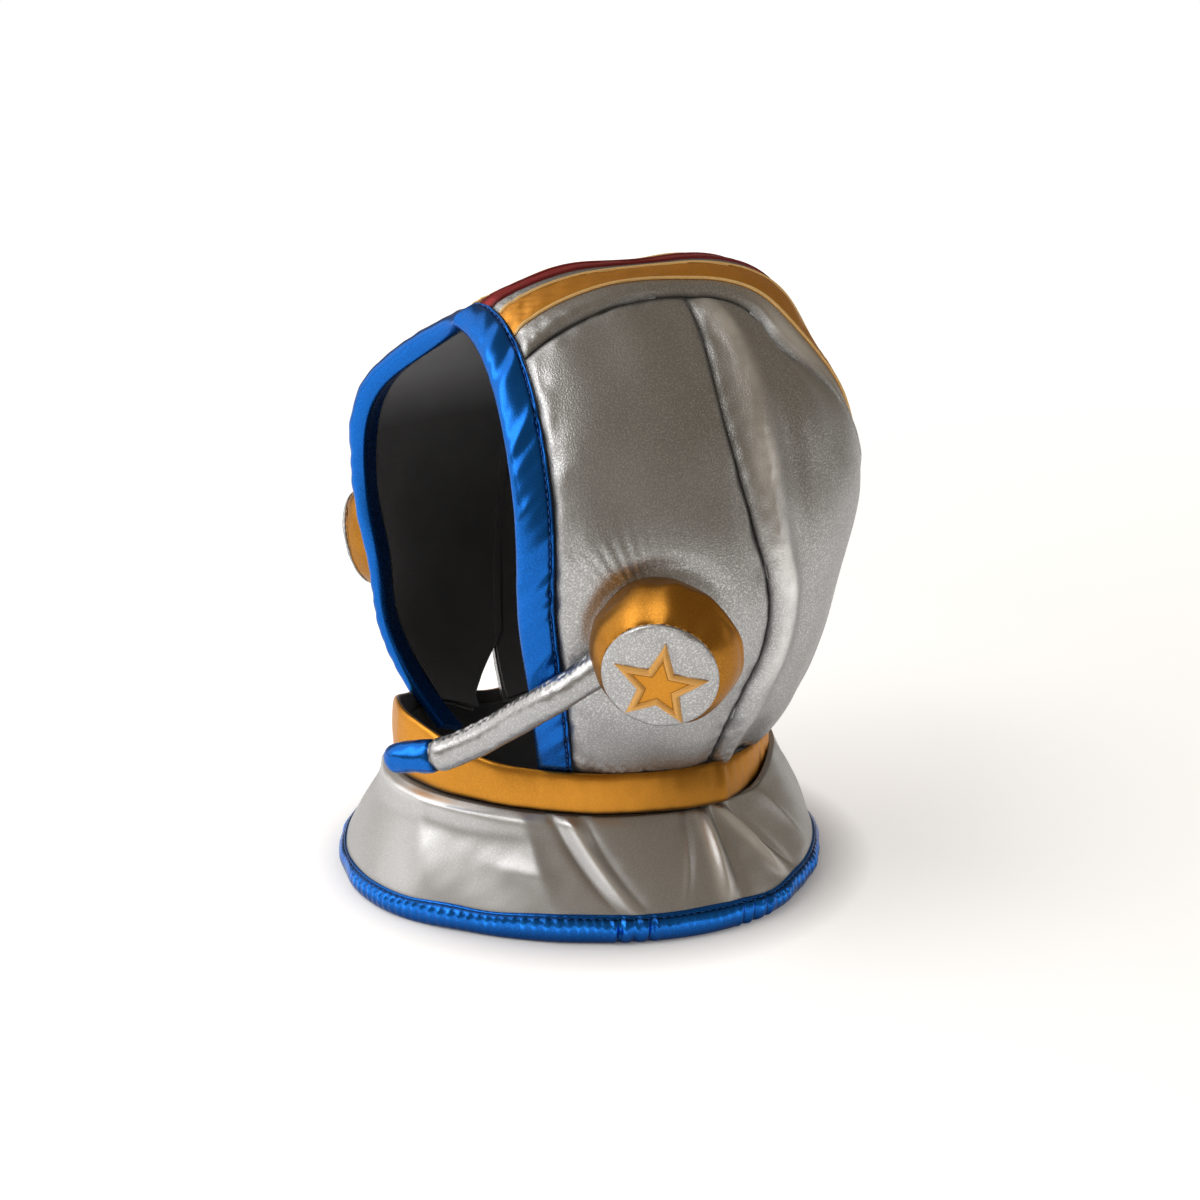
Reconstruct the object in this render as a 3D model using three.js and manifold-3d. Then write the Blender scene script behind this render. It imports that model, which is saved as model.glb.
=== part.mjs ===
// Soft astronaut costume hood: padded foil panels, a bound face opening, a neck band, a flared
// collar with a bound hem, stuffed ear cups with stars, and a stuffed microphone arm.
// Millimetres, +Z up, -Y is the face side and +X is the wearer's left. The hem stands on z = 0.
import * as THREE from "three";
import Module from "manifold-3d";

// Hood: a fan of arches about a crosswise axis through HOOD_CENTRE. Each row of HOOD_PROFILE is the
// middle line's distance from that axis; angle 0 points back, 90 up and 180 to the face.
const HOOD_CENTRE = { y: 8.6, z: 140.2 };
const HOOD_HALF_WIDTH = 110;
const ARCH_EXPONENT = 1.75;
const NECK_TAPER = { share: 0.038, top: 138, bottom: 62 };
const HOOD_PROFILE = [
  { angle: -90, radius: 122.8 },
  { angle: -60, radius: 117.5 },
  { angle: -30, radius: 110.8 },
  { angle: 0, radius: 114 },
  { angle: 20, radius: 135.5 },
  { angle: 40, radius: 142 },
  { angle: 60, radius: 148 },
  { angle: 80, radius: 133.8 },
  { angle: 100, radius: 132.6 },
  { angle: 120, radius: 134.8 },
  { angle: 150, radius: 135.5 },
  { angle: 180, radius: 118.5 },
  { angle: 210, radius: 121 },
  { angle: 240, radius: 127 },
];
const DENTS = [
  { side: 1, angle: 56, across: 51, depth: 12, radius: 38 },
  { side: -1, angle: 136, across: 50, depth: -5.5, radius: 45 },
  { side: -1, angle: 183, across: 70, depth: 3.5, radius: 34 },
];

// Face opening: the fold line of its binding, seen from the side.
const FOLD_FOOT = { left: -61, right: -64, z: 68 };
const FOLD_APEX_Y = -67;
const FOLD_BOW = { left: -15, right: -22 };
const BINDING_WIDTH = 16.2;
const BINDING_SECTION = [
  { back: 0, rise: -2 },
  { back: 0.7, rise: 0.1 },
  { back: 2.4, rise: 1.1 },
  { back: BINDING_WIDTH, rise: 0.9 },
  { back: BINDING_WIDTH, rise: -4.8 },
  { back: 2.4, rise: -5 },
  { back: 0.7, rise: -4 },
];

// Panels: the crown panel runs from the forehead to the nape, and a seam splits each side.
const CROWN_SEAM = [
  { angle: -60, half: 44 },
  { angle: 0, half: 49 },
  { angle: 40, half: 51 },
  { angle: 60, half: 46 },
  { angle: 74, half: 36 },
  { angle: 85, half: 33.5 },
  { angle: 100, half: 36 },
  { angle: 120, half: 39.5 },
  { angle: 132, half: 41 },
];
const SIDE_SEAM = [
  { z: 55, left: 17, right: -8 },
  { z: 80, left: 13, right: -2 },
  { z: 100, left: 14, right: 4 },
  { z: 120, left: 19, right: 9 },
  { z: 135, left: 21, right: 12 },
  { z: 150, left: 19.5, right: 13 },
  { z: 170, left: 15.5, right: 13 },
  { z: 195, left: 13.2, right: 13 },
  { z: 225, left: 15, right: 15 },
  { z: 262, left: 27, right: 27 },
];
const SIDE_SEAM_TOP_Y = 28;
const BACK_CORNER_ANGLE = 32;
const PANEL_THICKNESS = 2.4;
const LINING_THICKNESS = 1;
const LINING_GAP = 2.2;
const STRIPE_THICKNESS = 0.8;
const STRIPE_GAP = 0.6;
const STRIPE_END = 0.97;
const STRIPES = [
  { name: "stripe_red", from: -0.15, to: 0.15, cloth: "red" },
  { name: "stripe_gold_left", from: 0.3, to: 0.72, cloth: "gold" },
  { name: "stripe_gold_right", from: -0.72, to: -0.3, cloth: "gold" },
];
const SEAM_GAP = 0.4;

// Neck line: a plane that falls towards the back, with a dip where the right side opens.
const NECK_HEIGHT = 63.2;
const NECK_FALL = 0.085;
const NECK_CENTRE_Y = -4;
const CLOSURE_DIP = { y: -12, depth: 7, spread: 26, from: 60 };
const CLOSURE_SLIT = { width: 20, height: 18 };
const PANEL_TUCK = 5;
const BINDING_CLEARANCE = 5.6;
const BAND_HEIGHT = 17.5;
const BAND_SECTION = [
  { out: 0.5, rise: 0 },
  { out: 1.6, rise: 0.7 },
  { out: 3.2, rise: 0.2 },
  { out: 4.1, rise: -3 },
  { out: 4.1, rise: -BAND_HEIGHT + 3 },
  { out: 3.2, rise: -BAND_HEIGHT },
  { out: 0.5, rise: -BAND_HEIGHT },
];

// Collar and hem: the hem is an oval on the floor. A fold runs from its top azimuth to its foot
// azimuth, in degrees from the face towards the wearer's left.
const HEM_CENTRE_Y = -3.6;
const HEM_OUTLINE = [
  { azimuth: 0, reach: 113 },
  { azimuth: 15, reach: 110.8 },
  { azimuth: 30, reach: 105 },
  { azimuth: 60, reach: 104 },
  { azimuth: 90, reach: 110 },
  { azimuth: 105, reach: 111.5 },
  { azimuth: 120, reach: 110 },
  { azimuth: 180, reach: 109 },
  { azimuth: 240, reach: 109 },
  { azimuth: 300, reach: 108 },
];
const HEM_HEIGHT = 10;
const HEM_SECTION = [
  { out: -2.8, rise: 0 },
  { out: 0.6, rise: 0 },
  { out: 1.6, rise: 1.2 },
  { out: 1.6, rise: HEM_HEIGHT - 1.2 },
  { out: 0.6, rise: HEM_HEIGHT },
  { out: -2.8, rise: HEM_HEIGHT },
  { out: -3.8, rise: HEM_HEIGHT - 1.2 },
  { out: -3.8, rise: 1.2 },
];
const COLLAR_THICKNESS = 2.2;
const COLLAR_TOP = [
  { azimuth: 0, out: 3.2, rise: 0 },
  { azimuth: 112, out: 3.2, rise: 0 },
  { azimuth: 126, out: 7.2, rise: 1.5 },
  { azimuth: 148, out: 7.4, rise: 11 },
  { azimuth: 190, out: 7.4, rise: 11 },
  { azimuth: 212, out: 7.2, rise: 1.5 },
  { azimuth: 226, out: 3.2, rise: 0 },
];
const COLLAR_ROLL = 1.3;
const COLLAR_GAP = 0.8;
const FOLDS = [
  { top: 8, foot: 20, height: 1.6, width: 12 },
  { top: 51, foot: 69, height: 2.6, width: 7 },
  { top: 59, foot: 77, height: -2, width: 6 },
  { top: 99, foot: 97, height: 3, width: 8 },
  { top: 106, foot: 119, height: 3.2, width: 8 },
];

const FOLD_START = 0.15;
const FOLD_FULLNESS = 0.7;
const COLLAR_EDGE_POWER = 6;

// Ear cups: a stuffed gusset round an axis that leans to the face, a face disc and a star.
const EAR_AXIS_POINT = {
  left: new THREE.Vector3(108, -31, 133),
  right: new THREE.Vector3(-110, -36, 135),
};
const EAR_TURN = 42;
const EAR_DROOP = 14;
const EAR_RINGS = [
  { along: 2, radius: 30.4 },
  { along: 10, radius: 29.6 },
  { along: 17, radius: 27 },
  { along: 21.5, radius: 24 },
];
const EAR_SEAT = { radii: [6, 14, 22, 29], gap: 0.5 };
const EAR_FACE_RINGS = [
  { along: 21.9, radius: 22.4 },
  { along: 22.9, radius: 23.4 },
  { along: 23.9, radius: 22.8 },
  { along: 25.7, radius: 12.9 },
];
const EAR_STAR = { outer: 19.8, inner: 8.8, along: 26.5, thickness: 1, points: 5, turn: -9, drop: 3 };

// Microphone arm: a stuffed tube that leaves the front of the left ear cup.
const MIC_PATH = [
  { x: 100, y: -47, z: 131 },
  { x: 86, y: -68.5, z: 113 },
  { x: 68, y: -81, z: 98 },
  { x: 53, y: -92.6, z: 85.5 },
  { x: 41, y: -102.2, z: 78.6 },
  { x: 22, y: -116.6, z: 74.5 },
];
const MIC_RADIUS = 6.6;
const MIC_TIP = { share: 0.8, radius: 6.9, bluntness: 4, end: 0.96 };
const MIC_CLEARANCE = 0.4;

// Mesh density.
const FRONT_COLUMNS = 10;
const BACK_COLUMNS = 8;
const SIDE_ROWS = 14;
const CROWN_COLUMNS = 10;
const FOOT_CROWDING = 1.35;
const LINING_STEP = 2;
const BINDING_STATIONS = 44;
const NECK_STATIONS = 56;
const COLLAR_ROWS = 5;
const COLLAR_FINE = { from: 0, to: 132, step: 3 };
const COLLAR_COARSE_STEP = 12;
const EAR_SIDES = 28;
const MIC_SIDES = 12;
const MIC_STEPS = 16;
const MIC_TIP_STEPS = 6;

// Numerical work: the step for slopes, the rounds of each search and where each search looks.
const PROBE = 0.05;
const SETTLE_ROUNDS = 6;
const HALVINGS = 48;
const FOOT_SEARCH = [0.7, 1.2];
const HEAD_SEARCH = [0.05, 0.9];
const NAPE_SEARCH = [5, 75];
const NECK_SEARCH = [20, 140];

const CLOTHS = {
  silver: { color: 0xb9b4ab, roughness: 0.38, metalness: 0.75 },
  gold: { color: 0xc9902f, roughness: 0.38, metalness: 0.7 },
  blue: { color: 0x1466c8, roughness: 0.3, metalness: 0.7 },
  red: { color: 0x8a1a1f, roughness: 0.45, metalness: 0.5 },
  lining: { color: 0x2b2b2d, roughness: 0.9, metalness: 0 },
};

const wasm = await Module();
wasm.setup();

const degrees = THREE.MathUtils.radToDeg;
const radians = THREE.MathUtils.degToRad;
const lerp = THREE.MathUtils.lerp;
const vec = (x, y, z) => new THREE.Vector3(x, y, z);
const steps = (count) => Array.from({ length: count + 1 }, (unused, i) => i / count);

// A smooth curve through the rows of a table. With a period the table wraps round.
function smoothTable(rows, input, output, period = 0) {
  let knots = rows.map((row) => ({ at: row[input], value: row[output] }));
  if (period) {
    const moved = (knot, by) => ({ at: knot.at + by, value: knot.value });
    const last = knots[knots.length - 1];
    knots = [moved(last, -period), ...knots, moved(knots[0], period), moved(knots[1], period)];
  }
  const end = knots.length - 1;
  const slope = (i) => {
    const a = knots[Math.max(i - 1, 0)];
    const b = knots[Math.min(i + 1, end)];
    return (b.value - a.value) / (b.at - a.at);
  };
  return (asked) => {
    let at = THREE.MathUtils.clamp(asked, knots[0].at, knots[end].at);
    if (period) at = THREE.MathUtils.euclideanModulo(asked - rows[0][input], period) + rows[0][input];
    let i = 0;
    while (i < end - 1 && knots[i + 1].at <= at) i += 1;
    const span = knots[i + 1].at - knots[i].at;
    const t = (at - knots[i].at) / span;
    const rise = 3 * t * t - 2 * t * t * t;
    const level = lerp(knots[i].value, knots[i + 1].value, rise);
    const start = t * (1 - t) * (1 - t) * span * slope(i);
    return level + start - t * t * (1 - t) * span * slope(i + 1);
  };
}

// The value between low and high where a rising test turns from negative to positive.
function bisect(test, low, high) {
  let a = low;
  let b = high;
  for (let i = 0; i < HALVINGS; i += 1) {
    const middle = (a + b) / 2;
    if (test(middle) < 0) a = middle;
    else b = middle;
  }
  return (a + b) / 2;
}

// Hood surface
const profileRadius = smoothTable(HOOD_PROFILE, "angle", "radius", 360);
const crownHalf = smoothTable(CROWN_SEAM, "angle", "half");
const SEAM_SHARE = SEAM_GAP / (2 * crownHalf(90));
const hoodAngle = (y, z) => degrees(Math.atan2(z - HOOD_CENTRE.z, y - HOOD_CENTRE.y));

function neckNarrowing(z) {
  const drop = (NECK_TAPER.top - z) / (NECK_TAPER.top - NECK_TAPER.bottom);
  const s = THREE.MathUtils.clamp(drop, 0, 1);
  return 1 - (NECK_TAPER.share * s * s * (3 - s)) / 2;
}

// Zero on the hood surface and negative inside it.
function hoodField(p) {
  const reach = Math.hypot(p.y - HOOD_CENTRE.y, p.z - HOOD_CENTRE.z) / profileRadius(hoodAngle(p.y, p.z));
  const across = Math.abs(p.x) / (HOOD_HALF_WIDTH * neckNarrowing(p.z));
  return (across ** ARCH_EXPONENT + reach ** ARCH_EXPONENT) ** (1 / ARCH_EXPONENT) - 1;
}

function hoodGradient(p) {
  const along = (d) => hoodField(p.clone().add(d)) - hoodField(p.clone().sub(d));
  const slopes = vec(along(vec(PROBE, 0, 0)), along(vec(0, PROBE, 0)), along(vec(0, 0, PROBE)));
  return slopes.divideScalar(2 * PROBE);
}

const hoodNormal = (p) => hoodGradient(p).normalize();

function settle(p) {
  const q = p.clone();
  for (let i = 0; i < SETTLE_ROUNDS; i += 1) {
    const gradient = hoodGradient(q);
    q.addScaledVector(gradient, -hoodField(q) / gradient.lengthSq());
  }
  return q;
}

// The side of the hood at (y, z), as a point of the surface.
function sidePoint(side, y, z) {
  const reach = Math.hypot(y - HOOD_CENTRE.y, z - HOOD_CENTRE.z) / profileRadius(hoodAngle(y, z));
  const rest = Math.max(1 - reach ** ARCH_EXPONENT, 0);
  return vec(side * HOOD_HALF_WIDTH * rest ** (1 / ARCH_EXPONENT) * neckNarrowing(z), y, z);
}

// The point of the arch at an angle, a crosswise distance from the middle.
function archPoint(angle, across) {
  const share = 1 - (Math.abs(across) / HOOD_HALF_WIDTH) ** ARCH_EXPONENT;
  const reach = profileRadius(angle) * share ** (1 / ARCH_EXPONENT);
  const y = HOOD_CENTRE.y + reach * Math.cos(radians(angle));
  const z = HOOD_CENTRE.z + reach * Math.sin(radians(angle));
  return vec(across * neckNarrowing(z), y, z);
}

const dentCentres = DENTS.map((dent) => archPoint(dent.angle, dent.side * dent.across));

function dentDepth(p) {
  return DENTS.reduce((sum, dent, i) => {
    const ratio = p.distanceTo(dentCentres[i]) / dent.radius;
    return sum + dent.depth * Math.exp(-2 * ratio * ratio);
  }, 0);
}

// A point of the surface raised along its normal, pushed in where the cloth is dented.
const raised = (p, rise) => p.clone().addScaledVector(hoodNormal(p), rise - dentDepth(p));

function neckLine(x, y) {
  const sag = (y - CLOSURE_DIP.y) / CLOSURE_DIP.spread;
  const dip = x < 0 ? CLOSURE_DIP.depth * Math.exp(-sag * sag) : 0;
  return NECK_HEIGHT - NECK_FALL * (y - NECK_CENTRE_Y) - dip * Math.min(Math.abs(x) / CLOSURE_DIP.from, 1);
}

// Face opening
const foldApexZ = bisect((z) => hoodField(vec(0, FOLD_APEX_Y, z)), HOOD_CENTRE.z, 2 * HOOD_CENTRE.z);

// The fold line: station 0 at the top of the opening, plus or minus 1 near the neck.
function foldPoint(station) {
  const v = Math.cos((Math.PI / 2) * station);
  const end = station < 0 ? "right" : "left";
  const y = lerp(FOLD_FOOT[end], FOLD_APEX_Y, v) + FOLD_BOW[end] * 4 * v * (1 - v);
  const z = lerp(FOLD_FOOT.z, foldApexZ, v);
  return settle(sidePoint(Math.sign(station), y, z));
}

function behindFold(station, distance) {
  const edge = foldPoint(station);
  const normal = hoodNormal(edge);
  const back = vec(0, 1, 0);
  back.addScaledVector(normal, -back.dot(normal)).normalize();
  return settle(edge.addScaledVector(back, distance));
}

const PANEL_START = BINDING_WIDTH + 2 * SEAM_GAP;

// Crown panel: share is the crosswise place as a part of the half width, t runs front to nape.
const frontAngle = (share) => {
  const excess = (station) => {
    const p = behindFold(Math.sign(share) * station, PANEL_START);
    return Math.abs(p.x) - Math.abs(share) * crownHalf(hoodAngle(p.y, p.z));
  };
  const p = behindFold(Math.sign(share) * bisect(excess, 0, 1), PANEL_START);
  return hoodAngle(p.y, p.z);
};

const napeAngle = (share) => -bisect((down) => {
  const p = archPoint(-down, share * crownHalf(-down));
  return neckLine(p.x, p.y) - PANEL_TUCK - p.z;
}, ...NAPE_SEARCH);

function crownColumn(share) {
  const front = frontAngle(share);
  const nape = napeAngle(share);
  return (t) => {
    const angle = lerp(front, nape, t);
    return archPoint(angle, share * crownHalf(angle));
  };
}

// Places along the crown: the front panel's seam, the back panel's top and the back panel's rear.
const edgeColumn = crownColumn(1);
const sideSeamT = bisect((t) => edgeColumn(t).y - SIDE_SEAM_TOP_Y, 0, 0.5);
const backCornerT = bisect((t) => {
  const p = edgeColumn(t);
  return BACK_CORNER_ANGLE - hoodAngle(p.y, p.z);
}, 0, 1);
const frontPlaces = steps(FRONT_COLUMNS).map((u) => u * sideSeamT);
const backPlaces = steps(BACK_COLUMNS).map((u) => lerp(sideSeamT, backCornerT, u));
const rowPlaces = steps(SIDE_ROWS).map((v) => v ** FOOT_CROWDING);
const napePlaces = rowPlaces.map((v) => lerp(1, backCornerT, v)).reverse();
const crownPlaces = [...frontPlaces, ...backPlaces.slice(1), ...napePlaces.slice(1)];

// Closed bodies
function closedGeometry(points, triangles) {
  const volume = triangles.reduce((sum, [a, b, c]) => {
    return sum + points[a].dot(points[b].clone().cross(points[c]));
  }, 0);
  const facing = volume < 0 ? triangles.map(([a, b, c]) => [a, c, b]) : triangles;
  const geometry = new THREE.BufferGeometry().setFromPoints(points);
  geometry.setIndex(facing.flat());
  geometry.computeVertexNormals();
  return geometry;
}

// A wall between two grids of points with the same rows and columns.
function wallGeometry(outer, inner) {
  const columns = outer[0].length;
  const size = outer.length * columns;
  const at = (row, column, face) => face * size + row * columns + column;
  const triangles = [];
  const quad = (a, b, c, d) => triangles.push([a, b, c], [a, c, d]);
  for (let r = 0; r + 1 < outer.length; r += 1) {
    for (let c = 0; c + 1 < columns; c += 1) {
      quad(at(r, c, 0), at(r, c + 1, 0), at(r + 1, c + 1, 0), at(r + 1, c, 0));
      quad(at(r, c, 1), at(r + 1, c, 1), at(r + 1, c + 1, 1), at(r, c + 1, 1));
    }
    quad(at(r, 0, 0), at(r + 1, 0, 0), at(r + 1, 0, 1), at(r, 0, 1));
    quad(at(r, columns - 1, 0), at(r, columns - 1, 1), at(r + 1, columns - 1, 1), at(r + 1, columns - 1, 0));
  }
  const last = outer.length - 1;
  for (let c = 0; c + 1 < columns; c += 1) {
    quad(at(0, c, 0), at(0, c, 1), at(0, c + 1, 1), at(0, c + 1, 0));
    quad(at(last, c, 0), at(last, c + 1, 0), at(last, c + 1, 1), at(last, c, 1));
  }
  return closedGeometry([...outer.flat(), ...inner.flat()], triangles);
}

// Closed sections joined in order: into a ring, or into a bar with a cap at each end.
function loftGeometry(sections, ring) {
  const sides = sections[0].length;
  const points = sections.flat();
  const triangles = [];
  const joins = ring ? sections.length : sections.length - 1;
  for (let s = 0; s < joins; s += 1) {
    const next = (s + 1) % sections.length;
    for (let k = 0; k < sides; k += 1) {
      const l = (k + 1) % sides;
      triangles.push([s * sides + k, s * sides + l, next * sides + l]);
      triangles.push([s * sides + k, next * sides + l, next * sides + k]);
    }
  }
  if (!ring) {
    for (const [base, flip] of [[0, true], [(sections.length - 1) * sides, false]]) {
      const middle = new THREE.Vector3();
      for (let k = 0; k < sides; k += 1) middle.addScaledVector(points[base + k], 1 / sides);
      points.push(middle);
      for (let k = 0; k < sides; k += 1) {
        const pair = [base + k, base + ((k + 1) % sides)];
        triangles.push(flip ? [pair[1], pair[0], points.length - 1] : [...pair, points.length - 1]);
      }
    }
  }
  return closedGeometry(points, triangles);
}

function solidOf(geometry) {
  const vertProperties = Float32Array.from(geometry.getAttribute("position").array);
  const triVerts = Uint32Array.from(geometry.getIndex().array);
  return new wasm.Manifold(new wasm.Mesh({ numProp: 3, vertProperties, triVerts }));
}

function geometryOf(solid) {
  const mesh = solid.getMesh();
  const geometry = new THREE.BufferGeometry();
  geometry.setAttribute("position", new THREE.BufferAttribute(mesh.vertProperties, 3));
  geometry.setIndex(new THREE.BufferAttribute(mesh.triVerts, 1));
  geometry.computeVertexNormals();
  return geometry;
}

// The two faces of a panel from its grid of surface points.
function panelGeometry(grid, top, thickness) {
  const face = (rise) => grid.map((row) => row.map((p) => raised(p, rise)));
  return wallGeometry(face(top), face(top - thickness));
}

const thinned = (list) => list.filter((unused, i) => i % LINING_STEP === 0);

// A patch between four edges that meet at its corners, filled smoothly in the side view.
function sidePatch(side, bottom, top, front, rear) {
  const last = bottom.length - 1;
  const end = front.length - 1;
  return rowPlaces.map((v, j) => bottom.map((unused, i) => {
    const u = i / last;
    const blend = (key) => {
      const across = lerp(front[j][key], rear[j][key], u);
      const upward = lerp(bottom[i][key], top[i][key], v);
      const low = lerp(front[0][key], rear[0][key], u);
      const high = lerp(front[end][key], rear[end][key], u);
      return across + upward - lerp(low, high, v);
    };
    return sidePoint(side, blend("y"), blend("z"));
  }));
}

// The seam of one side, from the neck up to the crown, moved by shift along y.
function sideSeam(side, shift, slit) {
  const seamY = smoothTable(SIDE_SEAM, "z", side > 0 ? "left" : "right");
  const crown = crownColumn(side * (1 + SEAM_SHARE));
  const top = crown(sideSeamT);
  const footY = seamY(NECK_HEIGHT);
  const footZ = neckLine(side * HOOD_HALF_WIDTH, footY) - PANEL_TUCK;
  return rowPlaces.map((v) => {
    const z = lerp(footZ, top.z, v);
    const open = slit * Math.max(1 - (z - footZ - PANEL_TUCK) / CLOSURE_SLIT.height, 0);
    return { y: seamY(z) + v * (top.y - seamY(top.z)) + shift - Math.min(open, slit), z };
  });
}

// The edge of a panel along the neck line, between two of its points.
function neckEdge(side, from, to, columns) {
  const line = (y) => neckLine(side * HOOD_HALF_WIDTH, y);
  return steps(columns).map((u) => {
    const y = lerp(from.y, to.y, u);
    const rise = line(y) - lerp(line(from.y), line(to.y), u);
    return { y, z: lerp(from.z, to.z, u) + rise };
  });
}

function frontPanelGrid(side) {
  const crown = crownColumn(side * (1 + SEAM_SHARE));
  const top = frontPlaces.map((t) => crown(t));
  const height = (station) => {
    const p = behindFold(side * station, PANEL_START);
    return neckLine(p.x, p.y) - PANEL_TUCK - p.z;
  };
  const foot = bisect(height, ...FOOT_SEARCH);
  const reached = (station) => top[0].z - behindFold(side * station, PANEL_START).z;
  const head = bisect(reached, ...HEAD_SEARCH);
  const front = rowPlaces.map((v) => behindFold(side * lerp(foot, head, v), PANEL_START));
  front[front.length - 1] = top[0];
  const rear = sideSeam(side, -SEAM_GAP / 2, side < 0 ? CLOSURE_SLIT.width : 0);
  const bottom = neckEdge(side, front[0], rear[0], FRONT_COLUMNS);
  return sidePatch(side, bottom, top, front, rear);
}

function backPanelGrid(side) {
  const crown = crownColumn(side * (1 + SEAM_SHARE));
  const top = backPlaces.map((t) => crown(t));
  const rear = napePlaces.map((t) => crown(t)).reverse();
  const front = sideSeam(side, SEAM_GAP / 2, 0);
  const bottom = neckEdge(side, front[0], rear[0], BACK_COLUMNS);
  return sidePatch(side, bottom, top, front, rear);
}

function crownGrid() {
  const shares = steps(CROWN_COLUMNS).map((u) => lerp(-1, 1, u) * (1 - SEAM_SHARE));
  const columns = shares.map((share) => crownColumn(share));
  return crownPlaces.map((t) => columns.map((column) => column(t)));
}

function stripeGrid(from, to) {
  const columns = steps(2).map((u) => crownColumn(lerp(from, to, u)));
  const places = crownPlaces.filter((t) => t < STRIPE_END);
  return places.map((t) => columns.map((column) => column(t)));
}

function bindingGeometry() {
  const foot = bisect((station) => {
    const p = foldPoint(station);
    return neckLine(p.x, p.y) + BINDING_CLEARANCE - p.z;
  }, ...FOOT_SEARCH);
  const sections = steps(BINDING_STATIONS).map((u) => {
    const station = lerp(-foot, foot, u);
    return BINDING_SECTION.map(({ back, rise }) => raised(behindFold(station, back), rise));
  });
  return loftGeometry(sections, false);
}

// Neck band and collar
const outward = (azimuth) => vec(Math.sin(radians(azimuth)), -Math.cos(radians(azimuth)), 0);

function neckPoint(azimuth) {
  const direction = outward(azimuth);
  const at = (reach) => {
    const p = direction.clone().multiplyScalar(reach).add(vec(0, NECK_CENTRE_Y, 0));
    return p.setZ(neckLine(p.x, p.y));
  };
  return at(bisect((reach) => hoodField(at(reach)), ...NECK_SEARCH));
}

function bandGeometry() {
  const sections = steps(NECK_STATIONS).slice(1).map((u) => {
    const azimuth = 360 * u;
    const base = neckPoint(azimuth);
    const away = hoodNormal(base).setZ(0).normalize();
    return BAND_SECTION.map(({ out, rise }) => base.clone().addScaledVector(away, out).add(vec(0, 0, rise)));
  });
  return loftGeometry(sections, true);
}

const hemReach = smoothTable(HEM_OUTLINE, "azimuth", "reach", 360);

function hemPoint(azimuth, z) {
  return outward(azimuth).multiplyScalar(hemReach(azimuth)).add(vec(0, HEM_CENTRE_Y, z));
}

function foldHeight(azimuth, down) {
  const hump = Math.sin(Math.PI * lerp(FOLD_START, 1, down)) ** FOLD_FULLNESS;
  return FOLDS.reduce((sum, fold) => {
    const turn = lerp(fold.top, fold.foot, down);
    const away = THREE.MathUtils.euclideanModulo(azimuth - turn + 180, 360) - 180;
    const ratio = radians(away) * hemReach(turn) / fold.width;
    return sum + fold.height * hump * Math.exp(-ratio * ratio);
  }, 0);
}

function collarAzimuths() {
  const list = [];
  for (let a = COLLAR_FINE.from; a < COLLAR_FINE.to; a += COLLAR_FINE.step) list.push(a);
  for (let a = COLLAR_FINE.to; a < COLLAR_FINE.from + 360; a += COLLAR_COARSE_STEP) list.push(a);
  return list;
}

const collarOut = smoothTable(COLLAR_TOP, "azimuth", "out", 360);
const collarRise = smoothTable(COLLAR_TOP, "azimuth", "rise", 360);

// The collar's outer face: out from under the band, then down to the hem. It stands up at the back.
function collarPoint(azimuth, down, rise) {
  const top = neckPoint(azimuth);
  const away = hoodNormal(top).setZ(0).normalize();
  top.addScaledVector(away, collarOut(azimuth));
  top.z += collarRise(azimuth) - BAND_HEIGHT - COLLAR_GAP;
  const foot = hemPoint(azimuth, HEM_HEIGHT + SEAM_GAP);
  const spread = 1 - (1 - down) ** COLLAR_ROLL;
  const p = vec(lerp(top.x, foot.x, spread), lerp(top.y, foot.y, spread), lerp(top.z, foot.z, down));
  const slope = Math.atan2(top.z - foot.z, top.distanceTo(foot));
  const normal = outward(azimuth).multiplyScalar(Math.sin(slope)).add(vec(0, 0, Math.cos(slope)));
  const level = smoothEnds(down);
  normal.lerp(outward(azimuth), level).normalize();
  return p.addScaledVector(normal, rise + foldHeight(azimuth, down) * (1 - level));
}

// One at both ends of the collar and zero between, so that its edges stay level.
const smoothEnds = (down) => Math.abs(2 * down - 1) ** COLLAR_EDGE_POWER;

function collarGeometry(azimuths) {
  const section = (azimuth) => {
    const outer = steps(COLLAR_ROWS).map((down) => collarPoint(azimuth, down, 0));
    const inner = steps(COLLAR_ROWS).map((down) => collarPoint(azimuth, down, -COLLAR_THICKNESS));
    return [...outer, ...inner.reverse()];
  };
  return loftGeometry(azimuths.map(section), true);
}

function hemGeometry(azimuths) {
  const section = (azimuth) => HEM_SECTION.map(({ out, rise }) => {
    return hemPoint(azimuth, rise).addScaledVector(outward(azimuth), out);
  });
  return loftGeometry(azimuths.map(section), true);
}

// Ear cups
function earFrame(side) {
  const turn = radians(EAR_TURN);
  const droop = radians(EAR_DROOP);
  const flat = Math.cos(droop);
  const axis = vec(side * Math.cos(turn) * flat, -Math.sin(turn) * flat, -Math.sin(droop));
  const rightward = vec(0, 0, 1).cross(axis).normalize();
  const upward = axis.clone().cross(rightward);
  const centre = EAR_AXIS_POINT[side < 0 ? "right" : "left"];
  return (along, right, up) => centre.clone().addScaledVector(axis, along)
    .addScaledVector(rightward, right).addScaledVector(upward, up);
}

function earRing(frame, along, radius) {
  return steps(EAR_SIDES).slice(1).map((u) => {
    const turn = 2 * Math.PI * u;
    return frame(along, radius * Math.cos(turn), radius * Math.sin(turn));
  });
}

function gussetGeometry(side, grow) {
  const frame = earFrame(side);
  const seated = (p) => raised(settle(p), EAR_SEAT.gap - grow);
  const seat = EAR_SEAT.radii.map((radius) => earRing(frame, 0, radius + grow).map(seated));
  const rings = EAR_RINGS.map(({ along, radius }) => earRing(frame, along, radius + grow));
  return loftGeometry([...seat, ...rings], false);
}

function earFaceGeometry(side) {
  const frame = earFrame(side);
  return loftGeometry(EAR_FACE_RINGS.map(({ along, radius }) => earRing(frame, along, radius)), false);
}

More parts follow.
